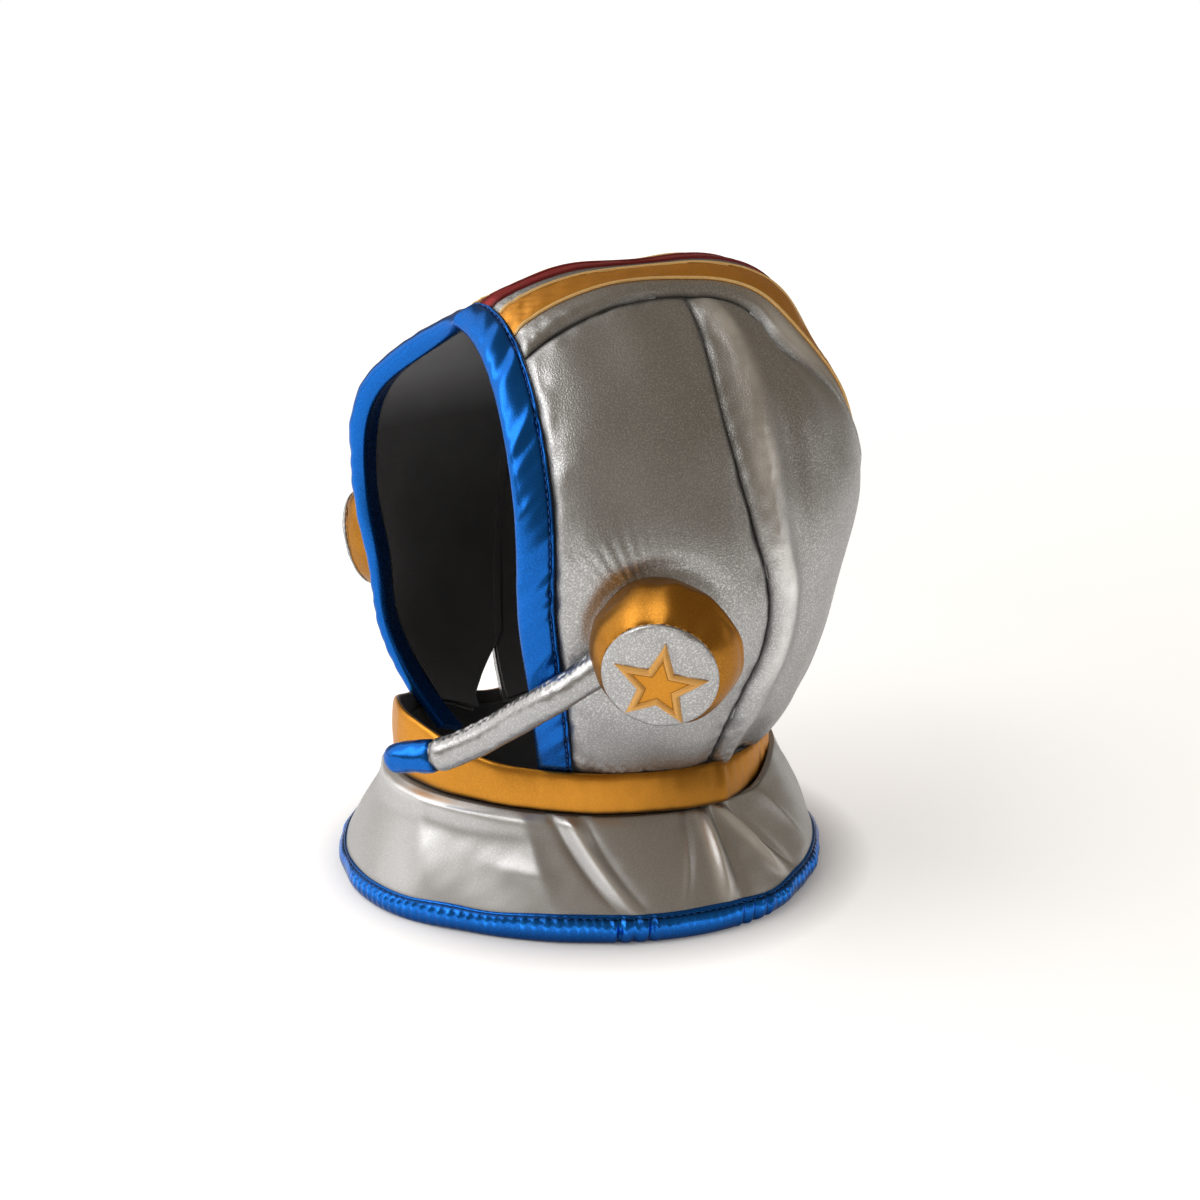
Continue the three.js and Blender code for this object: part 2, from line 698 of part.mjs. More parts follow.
function earStarGeometry(side) {
  const frame = earFrame(side);
  const { outer, inner, along, thickness, points, turn, drop } = EAR_STAR;
  const corner = (k, rise) => {
    const reach = k % 2 === 0 ? outer : inner;
    const angle = Math.PI / 2 + (Math.PI * k) / points + radians(turn);
    return frame(along + rise, reach * Math.cos(angle), reach * Math.sin(angle) - drop);
  };
  const layer = (rise) => Array.from({ length: 2 * points }, (unused, k) => corner(k, rise));
  return loftGeometry([layer(0), layer(thickness)], false);
}

// Microphone arm
const micCurve = new THREE.CatmullRomCurve3(MIC_PATH.map(({ x, y, z }) => vec(x, y, z)));

function micSection(t, radius) {
  const centre = micCurve.getPointAt(t);
  const axis = micCurve.getTangentAt(t);
  const flat = axis.clone().cross(vec(0, 0, 1)).normalize();
  const upright = flat.clone().cross(axis);
  return steps(MIC_SIDES).slice(1).map((u) => {
    const turn = 2 * Math.PI * u;
    const around = flat.clone().multiplyScalar(radius * Math.cos(turn));
    return around.addScaledVector(upright, radius * Math.sin(turn)).add(centre);
  });
}

function micArmGeometry() {
  const sections = steps(MIC_STEPS).map((u) => micSection(u * MIC_TIP.share, MIC_RADIUS));
  const arm = solidOf(loftGeometry(sections, false));
  return geometryOf(arm.subtract(solidOf(gussetGeometry(1, MIC_CLEARANCE))));
}

function micTipGeometry() {
  const start = MIC_TIP.share + MIC_CLEARANCE / micCurve.getLength();
  const sections = steps(MIC_TIP_STEPS).map((u) => {
    const round = Math.sqrt(1 - (MIC_TIP.end * u) ** MIC_TIP.bluntness);
    return micSection(lerp(start, 1, u), MIC_TIP.radius * round);
  });
  return loftGeometry(sections, false);
}

// Assembly
const helmet = new THREE.Group();

function addPiece(name, cloth, geometry) {
  const piece = new THREE.Mesh(geometry, new THREE.MeshStandardMaterial(CLOTHS[cloth]));
  piece.name = name;
  helmet.add(piece);
}

const panels = [{ name: "crown", grid: crownGrid() }];
for (const [end, side] of [["left", 1], ["right", -1]]) {
  panels.push({ name: `front_side_${end}`, grid: frontPanelGrid(side) });
  panels.push({ name: `back_side_${end}`, grid: backPanelGrid(side) });
}
for (const { name, grid } of panels) {
  addPiece(`${name}_panel`, "silver", panelGeometry(grid, 0, PANEL_THICKNESS));
  const coarse = thinned(grid).map(thinned);
  const depth = -PANEL_THICKNESS - LINING_GAP;
  addPiece(`${name}_lining`, "lining", panelGeometry(coarse, depth, LINING_THICKNESS));
}
for (const { name, from, to, cloth } of STRIPES) {
  const top = STRIPE_GAP + STRIPE_THICKNESS;
  addPiece(name, cloth, panelGeometry(stripeGrid(from, to), top, STRIPE_THICKNESS));
}
addPiece("face_binding", "blue", bindingGeometry());
addPiece("neck_band", "gold", bandGeometry());
const hemAzimuths = collarAzimuths();
addPiece("collar", "silver", collarGeometry(hemAzimuths));
addPiece("hem_binding", "blue", hemGeometry(hemAzimuths));
for (const [end, side] of [["left", 1], ["right", -1]]) {
  addPiece(`ear_gusset_${end}`, "gold", gussetGeometry(side, 0));
  addPiece(`ear_face_${end}`, "silver", earFaceGeometry(side));
  addPiece(`ear_star_${end}`, "gold", earStarGeometry(side));
}
addPiece("mic_arm", "silver", micArmGeometry());
addPiece("mic_tip", "blue", micTipGeometry());

// The origin lies under the middle of the whole object.
const middle = new THREE.Box3().setFromObject(helmet).getCenter(new THREE.Vector3());
helmet.position.set(-middle.x, -middle.y, 0);

export default helmet;
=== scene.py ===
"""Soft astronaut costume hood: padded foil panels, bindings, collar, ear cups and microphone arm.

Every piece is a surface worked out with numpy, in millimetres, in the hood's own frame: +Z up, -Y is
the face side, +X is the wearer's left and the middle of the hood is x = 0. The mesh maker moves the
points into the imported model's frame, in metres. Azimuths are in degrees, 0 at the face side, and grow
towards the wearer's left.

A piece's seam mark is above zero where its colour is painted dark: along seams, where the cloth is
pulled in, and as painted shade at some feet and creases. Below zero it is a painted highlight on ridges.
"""
import functools
import math

import bpy
import numpy as np
from bpy.props import FloatProperty, FloatVectorProperty, PointerProperty
from bpy.types import Operator, Panel, PropertyGroup
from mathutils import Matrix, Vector


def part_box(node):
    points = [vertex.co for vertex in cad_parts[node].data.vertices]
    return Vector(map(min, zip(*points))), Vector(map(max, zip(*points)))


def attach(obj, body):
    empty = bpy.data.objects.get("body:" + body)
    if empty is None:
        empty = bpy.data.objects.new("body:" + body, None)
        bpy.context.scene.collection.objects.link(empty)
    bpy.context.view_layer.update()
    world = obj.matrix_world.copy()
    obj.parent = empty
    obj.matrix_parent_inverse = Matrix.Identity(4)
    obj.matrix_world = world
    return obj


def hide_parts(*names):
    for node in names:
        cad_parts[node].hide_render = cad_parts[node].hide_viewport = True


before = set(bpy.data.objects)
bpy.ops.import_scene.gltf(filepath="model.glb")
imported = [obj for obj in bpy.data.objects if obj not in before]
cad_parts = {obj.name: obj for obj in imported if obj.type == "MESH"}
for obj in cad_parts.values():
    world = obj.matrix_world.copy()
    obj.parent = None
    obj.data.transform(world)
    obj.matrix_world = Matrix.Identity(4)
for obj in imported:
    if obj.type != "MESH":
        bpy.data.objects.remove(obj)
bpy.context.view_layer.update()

bl_info = {
    "name": "Astronaut costume hood",
    "version": (1, 0, 0),
    "blender": (4, 5, 0),
    "location": "View3D > Sidebar > Hood",
    "description": "Dresses the packed hood with padded foil panels, bindings, stitches and a stage",
    "category": "Object",
}

BODY = "root"
METRES = 0.001
ENDS = (("left", 1), ("right", -1))
UP = np.array([0.0, 0.0, 1.0])

# Hood: a fan of arches about a crosswise axis. Angle 0 points back, 90 up and 180 to the face.
HOOD_CENTRE_Y = 8.6
HOOD_CENTRE_Z = 140.2
HOOD_HALF_WIDTH = 110.0
ARCH_EXPONENT = 1.75
NECK_TAPER = {"share": 0.038, "top": 138.0, "bottom": 62.0}
HOOD_PROFILE = (
    (-90, 122.8), (-60, 117.5), (-30, 110.8), (0, 114), (20, 135.5), (40, 142), (60, 148),
    (80, 133.8), (100, 132.6), (120, 134.8), (150, 135.5), (180, 118.5), (210, 121), (240, 127),
)
# Places where the cloth is pushed in, or out where the depth is negative.
DENTS = (
    {"angle": 56.0, "across": 51.0, "depth": 12.0, "radius": 38.0},
    {"angle": 138.0, "across": -56.0, "depth": -9.0, "radius": 44.0},
    {"angle": 183.0, "across": -70.0, "depth": 3.5, "radius": 34.0},
    {"angle": 108.0, "across": -26.0, "depth": 4.2, "radius": 34.0},
)
# The crease down the middle of the forehead.
RIDGE = {"height": 2.4, "width": 9.0, "length": 18.0}

# Face opening: the fold line of its binding, seen from the side. Side 1 is the wearer's left.
FOLD_FOOT_Y = {1: -61.0, -1: -64.0}
FOLD_BOW = {1: -15.0, -1: -22.0}
FOLD_FOOT_Z = 68.0
FOLD_APEX_Y = -67.0
BINDING_STATIONS = 541
BINDING_TUCK = {1: 3.5, -1: 14.0}
BINDING_STITCH = 14.6
BINDING_STITCH_RISE = 0.2
BINDING_STITCH_CLEAR = 2.0
# The binding's section: distance behind the fold line, and rise. Its outside and inside are ranges of rise.
BINDING_SECTION = (
    (16.2, -2.2), (16.2, 0.1), (15.6, 0.8), (14.6, 0.1), (13.4, 0.9), (10.0, 1.5), (6.0, 1.7),
    (2.6, 1.2), (0.6, -0.3), (0.0, -2.0), (0.6, -3.8), (2.4, -4.9), (8.0, -5.1), (15.0, -4.9),
    (16.2, -4.3),
)
BINDING_POINTS = 44
BINDING_OUTSIDE = (-3.0, 0.0)
BINDING_INSIDE = (-1.0, -4.0)
# Its puckers run slantwise, and are this strong away from the stitches.
BINDING_SLANT = (1.1, 0.25)
BINDING_PUCKER = 0.5
# How it sinks under the neck band: its highest rise, by height over the neck line.
BINDING_SINK = {"rise": -0.4, "slope": 0.9, "from": 1.5, "depth": 0.8, "below": (-2.0, -4.0)}

# Panels. The crown's seam is a half width by arch angle, and a side seam is y by height.
CROWN_SEAM = (
    (-60, 44), (0, 49), (40, 51), (60, 46), (74, 36), (85, 33.5), (100, 36), (120, 39.5), (132, 41),
)
SIDE_SEAM = {
    1: (
        (55, 17), (80, 13), (100, 14), (120, 19), (135, 21), (150, 19.5), (170, 15.5), (195, 13.2),
        (225, 15), (262, 27),
    ),
    -1: (
        (55, -8), (80, -2), (100, 4), (120, 9), (135, 12), (150, 13), (170, 13), (195, 13),
        (225, 15), (262, 27),
    ),
}
SIDE_SEAM_TOP_Y = 28.0
BACK_CORNER_ANGLE = 32.0
SEAM_GAP = 0.4
SEAM_SHARE = 0.0059
PANEL_START = 17.0
PANEL_TUCK = 5.0
PANEL_THICKNESS = 2.4
# Slow waves reach their full height this far from a seam.
PANEL_CALM = 12.0
CROWN_GRID = (281, 81)
FRONT_GRID = (141, 111)
BACK_GRID = (161, 121)
FOOT_CROWDING = 1.35
SEED_STEP = 10
# Flutes of the back panels: places behind the side seam from foot to top, height and width. The first
# one is a crest that carries a painted highlight.
CREST_PLACES = (8, 8, 8, 8, 8, 9.5, 14, 16, 12.5, 9)
CREST_WIDTH = 7.5
BACK_FLUTES = (
    (CREST_PLACES, 3.2, CREST_WIDTH),
    ((25, 25, 25, 25, 25, 26.5, 31, 33, 29, 26), -2.2, 8.5),
    ((46,), 0.8, 14.0),
)
FLUTE_END = 14.0
# The crest's painted highlight: its width, its fade by share of the height, and its means beside two ripples.
CREST_SHEEN = {"width": 6.75, "fade": ((0.22, 0.4), (0.35, 1.0)), "fine": 0.9, "slow": 0.8}

# Linings
LINING_THICKNESS = 1.0
LINING_GAP = 2.2
LINING_STEP = 2
# Heights in metres between which the lining turns paler towards the top, as painted light.
LIT_LINING_HEIGHT = (0.195, 0.222)
# A lining's lap behind the one beside it: its step in the seam and its end, its depth, and how far above
# the slit it is at its full width.
LINING_LAP = {"reach": (0.3, 4.0), "depth": 1.2, "clear": 6.0}
NECK_LINING_SECTION = ((-0.9, -5.8), (0.1, -5.8), (0.1, -54.0), (-0.9, -54.0))
NECK_LINING_STEPS = 240

# Stripes: name, first and last share of the crown's half width, and colour.
STRIPES = (
    ("stripe_red", -0.15, 0.15, "red"),
    ("stripe_gold_left", 0.3, 0.72, "gold"),
    ("stripe_gold_right", -0.72, -0.3, "gold"),
)
STRIPE_END = 0.97
STRIPE_COLUMNS = 61
STRIPE_BORDER = 0.6
STRIPE_TOP = 0.35
STRIPE_BASE = 0.06

# Neck line: a plane that falls towards the back, with a dip where the right side opens.
NECK_HEIGHT = 63.2
NECK_FALL = 0.085
NECK_CENTRE = np.array([0.0, -4.0, 0.0])
NECK_REACH = (20.0, 140.0)
CLOSURE_DIP = {"y": -12.0, "depth": 7.0, "spread": 26.0, "from": 60.0}
CLOSURE_SLIT = {"width": 20.0, "height": 18.0}

# Neck band: its section out of the neck and up from the neck line.
BAND_HEIGHT = 17.5
BAND_SECTION = (
    (0.5, -1.0), (1.3, 0.5), (2.5, 0.6), (3.6, -0.9), (4.2, -4.0), (4.5, -9.0), (4.2, -13.5),
    (3.6, -16.6), (2.4, -17.4), (0.6, -17.2), (0.5, -9.0),
)
BAND_POINTS = 40
BAND_STEPS = 720
BAND_OUTSIDE = (1.5, 3.5)
BAND_LINED = 1.2
BAND_CREASES = {"radius": 80.0, "slant": 0.35}
# How far the band's edge stands up at the throat, by azimuth.
BAND_LIFT = ((0, 11), (10, 8), (20, 4), (30, 1), (40, 0), (300, 0), (320, 3), (335, 8), (348, 11.5))

# Collar, from its top under the band at 0 to its foot at 1.
COLLAR_STEPS = 900
COLLAR_ROWS = 45
COLLAR_THICKNESS = 2.2
COLLAR_TOP_OUT = ((0, 3.2), (112, 3.2), (126, 7.2), (148, 7.4), (190, 7.4), (212, 7.2), (226, 3.2))
COLLAR_TOP_RISE = ((0, 0), (112, 0), (126, 1.5), (148, 11), (190, 11), (212, 1.5), (226, 0))
COLLAR_ROLL = 1.08
COLLAR_GAP = 0.8
COLLAR_EDGE_POWER = 6
COLLAR_FREE = 0.12
# The collar's front, where its rim rolls out and carries a painted highlight: azimuth and spread.
COLLAR_FACING = {"azimuth": -5.0, "spread": 48.0}
# A slanting crease in front.
COLLAR_STREAK = {"azimuth": 43.0, "spread": 8.0, "down": 0.6, "slant": 0.006, "width": 0.16, "height": 1.2}
# Each fold: azimuth at the top, azimuth at the foot, height and width.
COLLAR_FOLDS = (
    (8, 20, 1.4, 12), (40, 52, 1.5, 9), (48, 68, -2.1, 4), (53, 71, 2.7, 5), (58, 74.5, -1.9, 4),
    (92, 81.5, 1.3, 4), (99, 93, 4.0, 5.5), (104, 97, -2.4, 4), (106, 114, 3.5, 5), (110, 119, -1.9, 4),
    (125, 132, 1.2, 6), (150, 155, 1.5, 8), (200, 205, 1.6, 9), (235, 228, 1.9, 7), (241, 236, -1.3, 4),
    (262, 270, -1.2, 5), (300, 305, 1.5, 9), (335, 328, 1.2, 9),
)
FOLD_START = 0.15
FOLD_FULLNESS = 0.7
# Folds higher than this get a painted highlight beside their tops, over a share of their height times width.
FOLD_SHEEN = {"from": 1.6, "offset": 3.0, "width": 0.2}

# Hem: its outline by azimuth, and its binding's section out of the outline and up from the floor.
HEM_CENTRE = np.array([0.0, -3.6, 0.0])
HEM_OUTLINE = (
    (0, 113), (15, 110.8), (30, 105), (60, 104), (90, 110), (105, 111.5), (120, 110), (180, 109),
    (240, 109), (300, 108),
)
HEM_SECTION = (
    (-2.6, 0.0), (0.6, 0.2), (2.3, 1.6), (3.1, 4.0), (2.9, 6.4), (2.2, 8.0), (1.4, 9.0), (0.9, 9.4),
    (0.8, 9.8), (0.1, 10.2), (-2.4, 10.2), (-3.6, 8.8), (-3.8, 5.0), (-3.6, 1.4),
)
HEM_POINTS = 36
HEM_STEPS = 1200
HEM_HEIGHT = 10.0
HEM_TALL = 1.1
HEM_PROUD = 1.6
HEM_OUTSIDE = (-0.5, 1.5)
HEM_STITCH = 9.3
HEM_STITCH_OUT = 1.0
# Its puckers: their strength, their unevenness, their slant and their share away from the middle.
HEM_PUCKER = {"height": 1.1, "uneven": 0.5, "slant": 1.2, "least": 0.2}
# Its painted glint on the puckers' upper part: the least share, the share by pucker and the unevenness.
HEM_GLINT = {"least": 0.25, "share": 0.9, "uneven": 0.5}
HEM_CREASES = (66.0, 69.5, 73.0, 96.0, 99.0, 102.5)
HEM_CREASE_SLANT = 0.8

# Ear cups: rings along an axis that leans to the face, each a place on the axis and a radius.
EAR_AXIS_POINT = {1: (108.0, -31.0, 133.0), -1: (-110.0, -36.0, 135.0)}
EAR_TURN = math.radians(42.0)
EAR_DROOP = math.radians(14.0)
EAR_STEPS = 144
EAR_SEAT_RADII = (0.0, 12.0, 22.0, 29.0)
EAR_SEAT_RISE = 0.5
EAR_WRINKLES = 60
GUSSET_RINGS = (
    (2.0, 30.5), (8.5, 30.3), (14.5, 28.5), (19.0, 25.9), (21.5, 23.7), (21.9, 22.4), (21.4, 12.0),
    (21.4, 0.0),
)
GUSSET_ROWS = 73
GUSSET_MIDDLE = 12.0
GUSSET_LOOSE = ((0.28, 0.38), (0.86, 0.8))
GUSSET_GATHERS = {"radius": 9.0, "height": 3.0, "least": 0.35}
FACE_RINGS = (
    (21.9, 0.0), (21.9, 21.0), (22.4, 22.9), (23.1, 23.5), (24.0, 22.9), (24.6, 20.8), (25.7, 13.0),
    (26.3, 6.0), (26.5, 0.0),
)
FACE_ROWS = 65
FACE_FRONT = (0.42, 0.52)
FACE_STITCH = {"along": 22.0, "radius": 23.2, "steps": 180, "middle": 18.0}
FACE_DOME = ((0, 26.5), (6, 26.3), (13, 25.7), (20.8, 24.6))
STAR = {"outer": 19.8, "inner": 8.8, "points": 5, "turn": math.radians(-9.0), "drop": 3.0}
STAR_STEPS = 240
STAR_ROWS = 33
STAR_TOP = 0.55
STAR_BASE = 0.1
STAR_SHARP = 70.0

# Microphone arm: a stuffed tube that leaves the front of the left ear cup.
MIC_PATH = (
    (100, -47, 131), (86, -68.5, 113), (68, -81, 98), (53, -92.6, 85.5), (41, -102.2, 78.6),
    (22, -116.6, 74.5),
)
MIC_FINE_STEPS = 801
MIC_STEPS = 64
MIC_RADIUS = 7.1
MIC_ROWS = 301
MIC_REACH = (0.03, 0.804)
MIC_SEAM = {"turn": 1.8, "width": 0.4, "depth": 0.35}
MIC_TIP_START = 0.8
MIC_TIP_RADIUS = 7.2
MIC_TIP_ROWS = 81
MIC_TIP_REACH = (0.801, 1.0)
MIC_TIP_CROWDING = 0.8
MIC_TIP_ROUND = 6

# Random unevenness: height, wave length and seed. A height of 1 is scaled by one of the hood's sizes.
RIPPLES = {
    "panel_slow": (1.0, 46, 0),
    "panel_pucker": (0.28, 11, 1),
    "panel_crinkle": (0.16, 4.5, 2),
    "crest_sheen_fine": (0.1, 6, 3),
    "crest_crinkle": (0.12, 5, 4),
    "crest_sheen_slow": (0.2, 30, 5),
    "lining_sag": (0.35, 38, 70),
    "stripe": (0.18, 9, 40),
    "binding_fine": (1.0, 9, 5),
    "binding_slow": (0.6, 26, 6),
    "band_slow": (0.5, 30, 21),
    "band_fine": (0.12, 9, 22),
    "collar_slow": (0.22, 50, 31),
    "collar_fine": (0.04, 14, 32),
    "hem_uneven": (0.5, 60, 51),
    "hem_slant": (1.5, 45, 52),
    "hem_swell": (0.55, 22, 53),
    "hem_tall": (0.06, 45, 54),
    "hem_glint": (0.5, 14, 55),
    "gusset_gathers": (0.45, 5, 61),
    "gusset_slow": (0.4, 22, 62),
    "face": (0.25, 12, 63),
    "mic_arm_fine": (0.06, 6, 81),
    "mic_arm_slow": (0.3, 28, 82),
    "mic_arm_crinkle": (0.28, 3.4, 85),
    "mic_tip_fine": (0.2, 8, 83),
    "mic_tip_slow": (0.3, 20, 84),
}

# Smooth humps: height, place and width, over a distance, an angle or a share.
HUMPS = {
    "panel_seam": (1.0, 0.0, 1.8),
    "panel_shade": (1.0, 0.0, 1.1),
    "panel_pucker": (1.0, 3.0, 5.0),
    "panel_crinkle": (1.0, 9.0, 7.0),
    # Painted shade at a side panel's foot.
    "panel_foot_shade": (0.55, 0.0, 14.0),
    "crown_roll": (1.1, 4.5, 3.6),
    # A painted highlight on the crown beside its side seams.
    "crown_sheen_along": (1.0, 0.425, 0.07),
    "crown_sheen_across": (1.0, 8.0, 6.0),
    # Keeps the crest's painted highlight clear of the seam.
    "crest_seam": (1.0, 0.0, 3.5),
    "ear_groove": (-1.3, 1.0, 4.0),
    "ear_fan_turn": (0.42, 2.1, 0.4),
    "ear_fan_reach": (1.0, 9.0, 9.0),
    "stripe_groove": (0.35, 0.0, 0.7),
    "binding_pucker": (1.0, BINDING_STITCH, 4.0),
    "binding_seam": (1.0, BINDING_STITCH, 0.7),
    "binding_puff": (3.6, -0.34, 0.3),
    "band_fold": (0.9, 108.0, 2.2),
    "band_lean": (4.0, 102.0, 18.0),
    "band_foot": (1.0, -17.0, 1.2),
    # Painted shade round the band's fold and on its side.
    "band_fold_shade": (0.45, 108.0, 18.0),
    "band_side_shade": (0.3, 87.0, 15.0),
    "collar_rim": (4.4, 0.13, 0.11),
    # A painted highlight along the collar's rim in front.
    "collar_rim_sheen": (0.8, 0.09, 0.06),
    "collar_top": (1.0, 0.0, 0.02),
    "collar_foot": (1.0, 1.0, 0.02),
    "hem_pucker": (0.8, 0.6, 0.25),
    "hem_crease": (1.0, 0.0, 1.1),
    "hem_crease_sides": (0.5, 2.4, 1.2),
    "hem_tall": (0.1, 48.0, 22.0),
    "hem_seam": (1.0, HEM_STITCH, 0.6),
    # Painted shade at the hem's foot, and a painted glint on its upper part.
    "hem_foot_shade": (0.6, 0.12, 0.26),
    "hem_glint": (1.0, 0.68, 0.15),
    "gusset_gathers_in": (1.0, 0.33, 0.1),
    "gusset_gathers_out": (1.0, 0.8, 0.1),
    "gusset_seam_in": (1.0, 0.27, 0.03),
    "gusset_seam_out": (1.0, 0.84, 0.03),
    "face_seam": (1.0, 0.25, 0.04),
    "star_groove": (1.0, 0.0, 0.35),
    "star_edge": (1.0, 0.0, 0.3),
    "mic_arm_joint": (0.9, 0.0, 1.6),
    "mic_tip_joint": (0.8, 0.0, 1.6),
    "mic_seam": (1.0, 0.0, 1.0),
}

# Foils: name, colour, shares of the colour in its light clouds, dark clouds, flecks, seams and painted shade,
# and painted highlights on ridges, roughness off and on its flecks, share of metal, and the scale and
# strength of its grain.
FOILS = (
    ("silver_panel", "silver", (1.0, 0.86, 1.5, 0.3, 2.35), (0.42, 0.3), 0.95, 1400, 0.5),
    # The collar's silver is a brighter copy of the panels' silver, as painted light, with a finer grain.
    ("silver_collar", "silver", (1.23, 1.13, 1.4, 0.45, 2.0), (0.4, 0.33), 0.92, 1500, 0.08),
    ("silver_arm", "silver", (1.0, 0.84, 1.2, 0.4, 1.9), (0.32, 0.26), 0.95, 1200, 0.18),
    ("gold_satin", "gold", (0.94, 0.82, 1.0, 0.2, 1.3), (0.4, 0.34), 0.9, 1500, 0.1),
    ("blue_satin", "blue", (1.0, 0.85, 1.1, 0.12, 1.5), (0.28, 0.2), 0.88, 1300, 0.1),
    # The ear cups' gold is a darker copy of the band's gold, as painted shade.
    ("gold_cup", "gold", (0.58, 0.5, 0.7, 0.2, 1.0), (0.36, 0.3), 0.9, 1500, 0.1),
    ("gold_stripe", "gold", (0.98, 0.85, 1.1, 0.25, 1.3), (0.46, 0.36), 0.7, 1500, 0.12),
    ("blue_hem", "blue", (0.95, 0.8, 1.2, 0.12, 2.6), (0.24, 0.17), 0.85, 1300, 0.1),
    ("red_stripe", "red", (1.3, 1.1, 1.6, 0.3, 1.3), (0.42, 0.34), 0.6, 1500, 0.12),
)
FOIL_TINT = (0.75, 0.75, 0.75, 1.0)
FOIL_DEPTH = 0.0004
CLOTH_DEPTH = 0.0003
CLOTH_STRENGTH = 0.5
GOLD_THREAD = (1.0, 0.58, 0.17)
GOLD_BORDER = ((1.0, 0.74, 0.36), (0.85, 0.45, 0.1))

# Camera, as the photograph was taken: azimuth, elevation, distance, lens and shift.
CAMERA_TARGET = np.array([0.0, 0.0, 141.0])
CAMERA_WAY = (57.44, 15.28)
CAMERA_DISTANCE = 0.8667
CAMERA_LENS = 56.76
CAMERA_SHIFT = (0.010, -0.0367)

# Lights: name, azimuth, elevation, distance and size in metres, and watts.
LIGHTS = (
    ("window_light", -40.0, 38.0, 1.4, 2.0, 15.0),
    ("front_light", 2.0, 42.0, 1.3, 1.0, 7.0),
    ("rim_light", 150.0, 14.0, 1.3, 0.35, 0.3),
)
ROOM_COLOUR = (0.243, 0.203, 0.154, 1.0)
WHITE = (1.0, 1.0, 1.0, 1.0)

# Floor, in metres: its half width, and two glows that grow between two distances from the hood. The glow
# is painted light, and its lack near the hood a painted shadow.
FLOOR_REACH = 8.0
FLOOR_GLOWS = (((0.1, 0.138), 0.56), ((0.5, 2.2), 0.4))
FLOOR_MOTTLE = 0.98

# Working values of the searches, the waves, the welding and the shading.
PROBE = 0.05
SETTLE_ROUNDS = 6
HALVINGS = 44
WAVE_COUNT = 14
WAVE_NUMBERS = (0.7, 1.5)
CREST_TIGHTNESS = 2.4
WELD_STEPS = 2000
SHARP_ANGLE = 50.0
# A stitch: places along its half length with the share of its thickness there, its sides and its arch.
STITCH_FORM = np.array([(-1.0, 0.0), (-0.75, 0.75), (0.0, 1.0), (0.75, 0.75), (1.0, 0.0)])
STITCH_SIDES = 6
STITCH_ARCH = 0.7


# Curves and searches


def smooth_table(rows, period=None):
    """A curve through (place, value) rows: a cubic between neighbours, whose slope at a row is the rise
    from the row before it to the row after it. With a period the rows wrap round."""
    at, value = np.array(rows, float).T
    if period:
        at = np.concatenate([[at[-1] - period], at, at[:2] + period])
        value = np.concatenate([value[-1:], value, value[:2]])
    order = np.arange(at.size)
    before = np.maximum(order - 1, 0)
    after = np.minimum(order + 1, at.size - 1)
    slope = (value[after] - value[before]) / (at[after] - at[before])

    def curve(asked):
        asked = np.asarray(asked, float)
        place = np.clip(asked, at[0], at[-1])
        if period:
            place = (asked - rows[0][0]) % period + rows[0][0]
        i = np.clip(np.searchsorted(at, place, side="right") - 1, 0, at.size - 2)
        span = at[i + 1] - at[i]
        t = (place - at[i]) / span
        level = value[i] + (value[i + 1] - value[i]) * t * t * (3 - 2 * t)
        return level + t * (1 - t) * span * ((1 - t) * slope[i] - t * slope[i + 1])

    return curve


def smooth_path(knots, places, closed_line=False):
    """Points at places from 0 to 1 along a smooth line through knots, an array (knot, ..., 3): cubics
    whose slope at a knot is half the step between its two neighbours."""
    knots = np.asarray(knots, float)
    count = len(knots) if closed_line else len(knots) - 1
    x = np.clip(np.asarray(places, float), 0, 1) * count
    i = np.minimum(np.floor(x).astype(int), count - 1)
    t = (x - i).reshape((-1,) + (1,) * (knots.ndim - 1))

    def knot(k):
        if closed_line:
            return knots[k % count]
        return knots[np.clip(k, 0, count)]

    start, end = knot(i), knot(i + 1)
    slope_in = (end - knot(i - 1)) / 2
    slope_out = (knot(i + 2) - start) / 2
    level = start + (end - start) * t * t * (3 - 2 * t)
    return level + t * (1 - t) * ((1 - t) * slope_in - t * slope_out)


def bisect(test, low, high):
    """Where a rising test turns from negative to positive, for whole arrays of tests at once."""
    low, high = np.asarray(low, float), np.asarray(high, float)
    for _ in range(HALVINGS):
        middle = (low + high) / 2
        below = test(middle) < 0
        low = np.where(below, middle, low)
        high = np.where(below, high, middle)
    return (low + high) / 2


def stack(x, y, z):
    """Three coordinate arrays as one array of points."""
    return np.stack(np.broadcast_arrays(x, y, z), axis=-1).astype(float)


def unit(vectors):
    """Vectors at length one."""
    return vectors / np.linalg.norm(vectors, axis=-1, keepdims=True)


def mix(a, b, share):
    """The first value at share zero, the second at share one and straight between them."""
    return a + (b - a) * share


def ramp(value, start, end):
    """Zero up to the start, one from the end on and straight between them. The end may be the lower one."""
    return np.clip((value - start) / (end - start), 0, 1)


def bump(distance, width):
    """A smooth hump: one in the middle and near zero past its width."""
    return np.exp(-((distance / width) ** 2))


def hump(value, name):
    """A hump with the height, place and width that the table of humps gives."""
    height, place, width = HUMPS[name]
    return height * bump(value - place, width)


def crest(distance, width):
    """A ridge with a tight top and nearly straight sides: one in the middle, near zero past its width."""
    return np.exp(1 - np.sqrt(1 + (CREST_TIGHTNESS * distance / width) ** 2))


def waves(points, length, seed):
    """A smooth random field of about -1 to 1: plane waves near the given length in millimetres, whose
    directions and phases come from the seed."""
    random = np.random.default_rng(seed)
    direction = unit(random.normal(size=(WAVE_COUNT, 3)))
    number = 2 * np.pi / length * random.uniform(*WAVE_NUMBERS, WAVE_COUNT)
    phase = random.uniform(0, 2 * np.pi, WAVE_COUNT)
    return np.sin(points @ (direction * number[:, None]).T + phase).sum(axis=-1) / math.sqrt(WAVE_COUNT)


